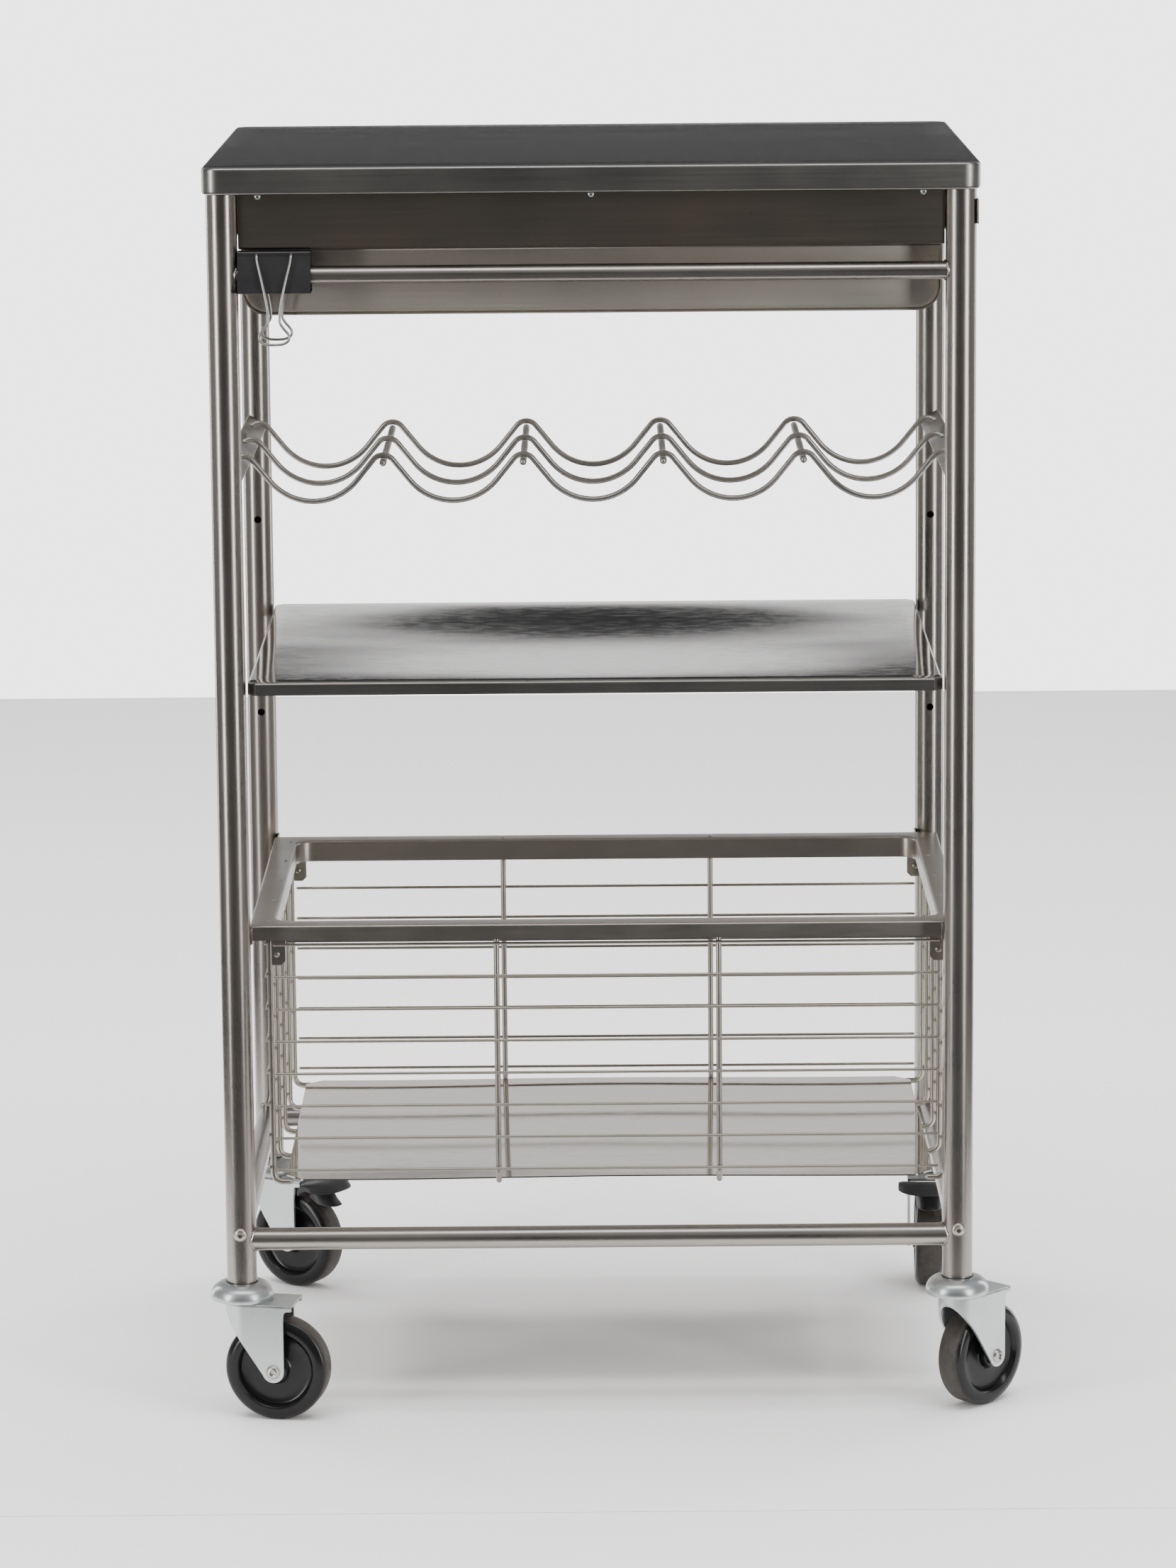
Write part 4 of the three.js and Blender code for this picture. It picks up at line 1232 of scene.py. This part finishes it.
cup = {"sides": 72, "centre": (12.4, 90.0), "dome": (10.3, 9.9),
       "top": [(0, 99.4), (11.6, 99.4), (12.0, 99.9)],
       "under": [(22.7, 88.6), (22.3, 87.8), (21.4, 87.7), (20.9, 89.2), (17.0, 94.5), (9.0, 96.0),
                 (9.0, 87.4), (5.0, 87.4), (5.0, 84.5), (7.4, 84.5), (7.4, 82.6), (0, 82.4)],
       "seal": [(9.2, 99.5), (11.0, 99.5), (11.3, 99.9), (11.0, 100.4), (9.2, 100.4), (9.2, 99.5)]}


def makeCup(corner, cx, cy, u):
    # a turned profile: a quarter ellipse for the dome, and the race and stud below it
    (x, z), (wide, high) = u["centre"], u["dome"]
    dome = [(x + wide * math.sin(a), z + high * math.cos(a)) for a in np.linspace(0.04, 1.54, 16)]
    turned = moved(lathe(u["top"] + dome + u["under"], u["sides"]), (cx, cy, 0))
    node = f"caster_cup_{corner}"
    makePiece(node + "_dome", *turned, "cupZinc", "frame", "zinc", [node], 38)
    seal = moved(lathe(u["seal"]), (cx, cy, 0))
    makePiece(f"post_seal_{corner}", *seal, "seal", "frame", "pedal_plastic")


fork = {"top": 87.0, "skin": 2.0, "nose": -12.0, "tail": 40.0, "boss": 7.9,
        "frontEdge": [(-12.0, 81), (-10, 78.4), (-5.2, 70.5), (0.6, 61.5)],
        "backEdge": [(33.92, 78), (34.6, 81.2), (36.5, 82.5), (40, 82.8)]}


def makeFork(corner, cx, cy, heading, c, k):
    # one sheet bent round a half circle at the nose: its lower edge is a height worked out from X
    top, half, skin = k["top"], c["half"], k["skin"]
    boss = arc(c["trail"], c["wheelRadius"], k["boss"], 200, 358, 24)
    edge = np.concatenate([smoothPath(k["frontEdge"], 14), boss, smoothPath(k["backEdge"], 8)])
    noseX = k["nose"] + half
    behind = edge[edge[:, 0] > noseX, 0]
    straight = np.unique(np.concatenate([np.linspace(noseX, k["tail"], 30), behind]))[::-1]
    angle = np.radians(np.linspace(270, 90, 33))[1:-1]
    rows = []
    inside = half - skin
    for width, atTop in ((half, False), (half, True), (inside, True), (inside, False), (half, False)):
        x = np.concatenate([straight, noseX + width * np.cos(angle), straight[::-1]])
        flat = np.full(len(straight), width)
        y = np.concatenate([-flat, width * np.sin(angle), flat])
        z = np.full(len(x), top - 0.3) if atTop else np.interp(x, edge[:, 0], edge[:, 1])
        rows.append(np.column_stack([x, y, z]))
    n = len(rows[0])
    wall = (np.concatenate(rows), gridFaces(5, n, False)
            + [[0, n, 2 * n, 3 * n], [n - 1, 2 * n - 1, 3 * n - 1, 4 * n - 1]])
    plan = np.concatenate([np.column_stack([noseX + half * np.cos(angle), half * np.sin(angle)]),
                           [(noseX, half), (k["tail"], half), (k["tail"], -half), (noseX, -half)]])
    pressing = moved(merged(wall, plate(plan, top - skin, top)), (cx, cy, 0), heading)
    node = f"caster_fork_{corner}"
    obj = makePiece(node + "_pressing", *pressing, "zinc", f"caster_{corner}", "zinc", [node])
    bevel(obj, 0.5, 3, 50)


def onWheelAxis(part, cx, cy, heading, c):
    # lays a turned profile on its side at the wheel's place, then turns it to the caster's heading
    p, f = part
    p = np.column_stack([p[:, 0] + c["trail"], p[:, 2], p[:, 1] + c["wheelRadius"]])
    return moved((p, f), (cx, cy, 0), heading)


axle = {"sides": 36, "end": [(0, 0.8), (1.5, 0.8), (1.8, 2.2), (2.5, 2.6), (3.6, 2.4), (4.7, 1.4),
                             (5.2, 0.1), (3.0, 0)]}


def makeAxle(corner, cx, cy, heading, c, x):
    # a turned shank with the same dished head at both ends
    end = [(radius, c["half"] + out) for radius, out in x["end"]]
    profile = [(radius, -z) for radius, z in end] + end[::-1]
    node = f"caster_axle_{corner}"
    part = onWheelAxis(lathe(profile, x["sides"]), cx, cy, heading, c)
    makePiece(node + "_rivet", *part, "brightWire", f"caster_{corner}", "zinc", [node])


wheel = {"sides": 84, "shoulder": 30.0, "halfWidth": 11.0, "flat": 3.0, "treadFrom": 35.9, "treadBlend": 1.4,
         "side": [(3.4, 12.6), (8.0, 12.6), (9.0, 12.1), (9.6, 10.8), (10.2, 7.4), (11.2, 6.6), (14, 6.3),
                  (20, 6.1), (24.6, 6.2), (25.8, 6.8), (27.2, 9.6), (28.2, 10.6), (30.0, 11.0)]}


def makeWheel(corner, cx, cy, heading, c, w):
    # a turned disc with a hub, a sunk web with a raised ring, and elliptic shoulders on the tread
    node = f"caster_wheel_{corner}"
    r = c["wheelRadius"]
    shoulder = [(w["shoulder"] + (r - w["shoulder"]) * math.sin(a),
                 w["halfWidth"] * (0.55 + 0.45 * math.cos(a))) for a in np.linspace(0.2, 1.4, 8)]
    half = w["side"] + shoulder + [(r, w["flat"])]
    profile = [(x, -z) for x, z in half] + half[::-1] + [(half[0][0], -half[0][1])]
    part = onWheelAxis(lathe(profile, w["sides"]), cx, cy, heading, c)
    obj = makePiece(node + "_round", *part, "wheel", f"wheel_{corner}", "wheel_rubber", [node], 28)
    a = math.radians(heading)
    hub = np.array([cx + c["trail"] * math.cos(a), cy + c["trail"] * math.sin(a), r])
    count = len(obj.data.vertices)
    co = np.zeros(count * 3)
    obj.data.vertices.foreach_get("co", co)
    away = co.reshape(-1, 3) / mm - hub
    across = away @ np.array([-math.sin(a), math.cos(a), 0])
    distance = np.sqrt(np.maximum((away ** 2).sum(1) - across ** 2, 0))
    tread = obj.data.attributes.new("tread", "FLOAT", "POINT")
    share = np.clip((distance - w["treadFrom"]) / w["treadBlend"], 0, 1)
    tread.data.foreach_set("value", share.astype(np.float32))


pedal = {"hinge": (42.6, 79.0), "half": 24.0, "lowerShare": 0.42,
         "upper": [(0, -3), (0.4, 2.6), (2.4, 5.8), (6, 7.9), (12, 8.4), (18, 7.6), (23, 5.6), (27.5, 1.4),
                   (22, 2.2), (16, 3.4), (9, 1.6)],
         "lower": [(2, -2), (9, 1.4), (15, -1.2), (19, -6.6), (24, -11.0), (18, -11.2), (11, -8.4),
                   (5, -5.6)]}


def makePedal(corner, cx, cy, heading, k):
    # two outlines carried across the width, each shortened towards both sides by a power of the share
    hx, hz = k["hinge"]
    parts = []
    for outline, half in ((k["upper"], k["half"]), (k["lower"], k["half"] * k["lowerShare"])):
        n = len(outline)
        line = np.asarray(outline, float) + (hx, hz)
        rows = []
        for share in np.linspace(-1, 1, 25):
            y = half * share
            length = 1 - 0.52 * abs(share) ** 3.2
            middle = line.mean(0)[1]
            ringX = hx + (line[:, 0] - hx) * length
            ringZ = middle + (line[:, 1] - middle) * (1 - 0.3 * abs(share) ** 8)
            rows.append(np.column_stack([ringX, np.full(n, y), ringZ]))
        parts.append((np.concatenate(rows), cappedFaces(len(rows), n)))
    node = f"brake_pedal_{corner}"
    part = moved(merged(*parts), (cx, cy, 0), heading)
    obj = makePiece(node + "_moulding", *part, "pedal", f"pedal_{corner}", "pedal_plastic", [node], 30)
    bevel(obj, 0.8, 3, 35)


def makeCasters(c):
    for corner, heading in c["headings"].items():
        low, high = nodeBox(f"post_{corner}")
        cx, cy = (low[0] + high[0]) / 2, (low[1] + high[1]) / 2
        makeCup(corner, cx, cy, cup)
        makeFork(corner, cx, cy, heading, c, fork)
        makeAxle(corner, cx, cy, heading, c, axle)
        makeWheel(corner, cx, cy, heading, c, wheel)
        if corner.startswith("back"):
            makePedal(corner, cx, cy, heading, pedal)


makeCasters(caster)
print("casters made")


# ---- binder clip ----
clip = {"sheet": 0.7, "lip": 1.4, "half": 12.6}


def makeClipBody(c):
    # a folded triangle of sheet whose two lips end in curls
    low, high = nodeBox("clip_body")
    middle = (low[1] + high[1]) / 2
    top = high[2] - 1.9
    t = c["sheet"]
    curl = arc(c["lip"] + 1.7, top, 1.5, -20, 230, 12)
    foot, shoulder = (c["half"] - t / 2, low[2] + t / 2), (c["lip"] + 3.1, top - 1.8)
    right = np.concatenate([[foot], [shoulder], curl])
    line = np.concatenate([(right * (-1, 1))[::-1], right])
    line = bentLine(line, 0.9, 3)
    p, f = foldedStrip(line + (middle, 0), t, low[0], high[0])
    makePiece("clip_spring", p, f, "lacquer", "clip", "clip_lacquer", ["clip_body"], 50)


clipHandle = {"wire": 0.95, "height": 838.6, "stand": 3.0,
              "leg": [(14.6, 0, 0), (12.9, 0.2, 0), (12.1, 1.6, 0.3), (11.9, 3.8, 2), (11.2, 5.6, 6.5),
                      (7.9, 10.6, 20), (5.2, 13.4, 33), (3.9, 14.2, 45), (6.2, 14.5, 50.2), (9.4, 14.7, 54),
                      (10.5, 14.8, 57), (9.3, 14.9, 59.8), (5.6, 15.0, 61.6), (1.8, 15.1, 62)]}


def makeClipHandle(end, h):
    # a round wire along a smooth curve through (half width, distance out, drop), the same on both sides
    node = f"clip_handle_{end}"
    low, high = nodeBox(node)
    clipLow, clipHigh = nodeBox("clip_body")
    middle = (clipLow[1] + clipHigh[1]) / 2
    sign = -1 if end == "front" else 1
    cx = (low[0] + high[0]) / 2
    z0 = h["height"]
    y0 = middle + sign * h["stand"]
    points = [(cx - x, y0 + sign * y, z0 - z) for x, y, z in h["leg"]]
    points += [(cx + x, y0 + sign * y, z0 - z) for x, y, z in h["leg"][::-1]]
    makePiece(node + "_wire", *tubeAlong(smoothPath(points, 150), h["wire"], 14), "brightWire",
              f"clip_{end}_handle", "nickel_wire", [node], 60)


makeClipBody(clip)
makeClipHandle("front", clipHandle)
makeClipHandle("back", clipHandle)
print("clip made")
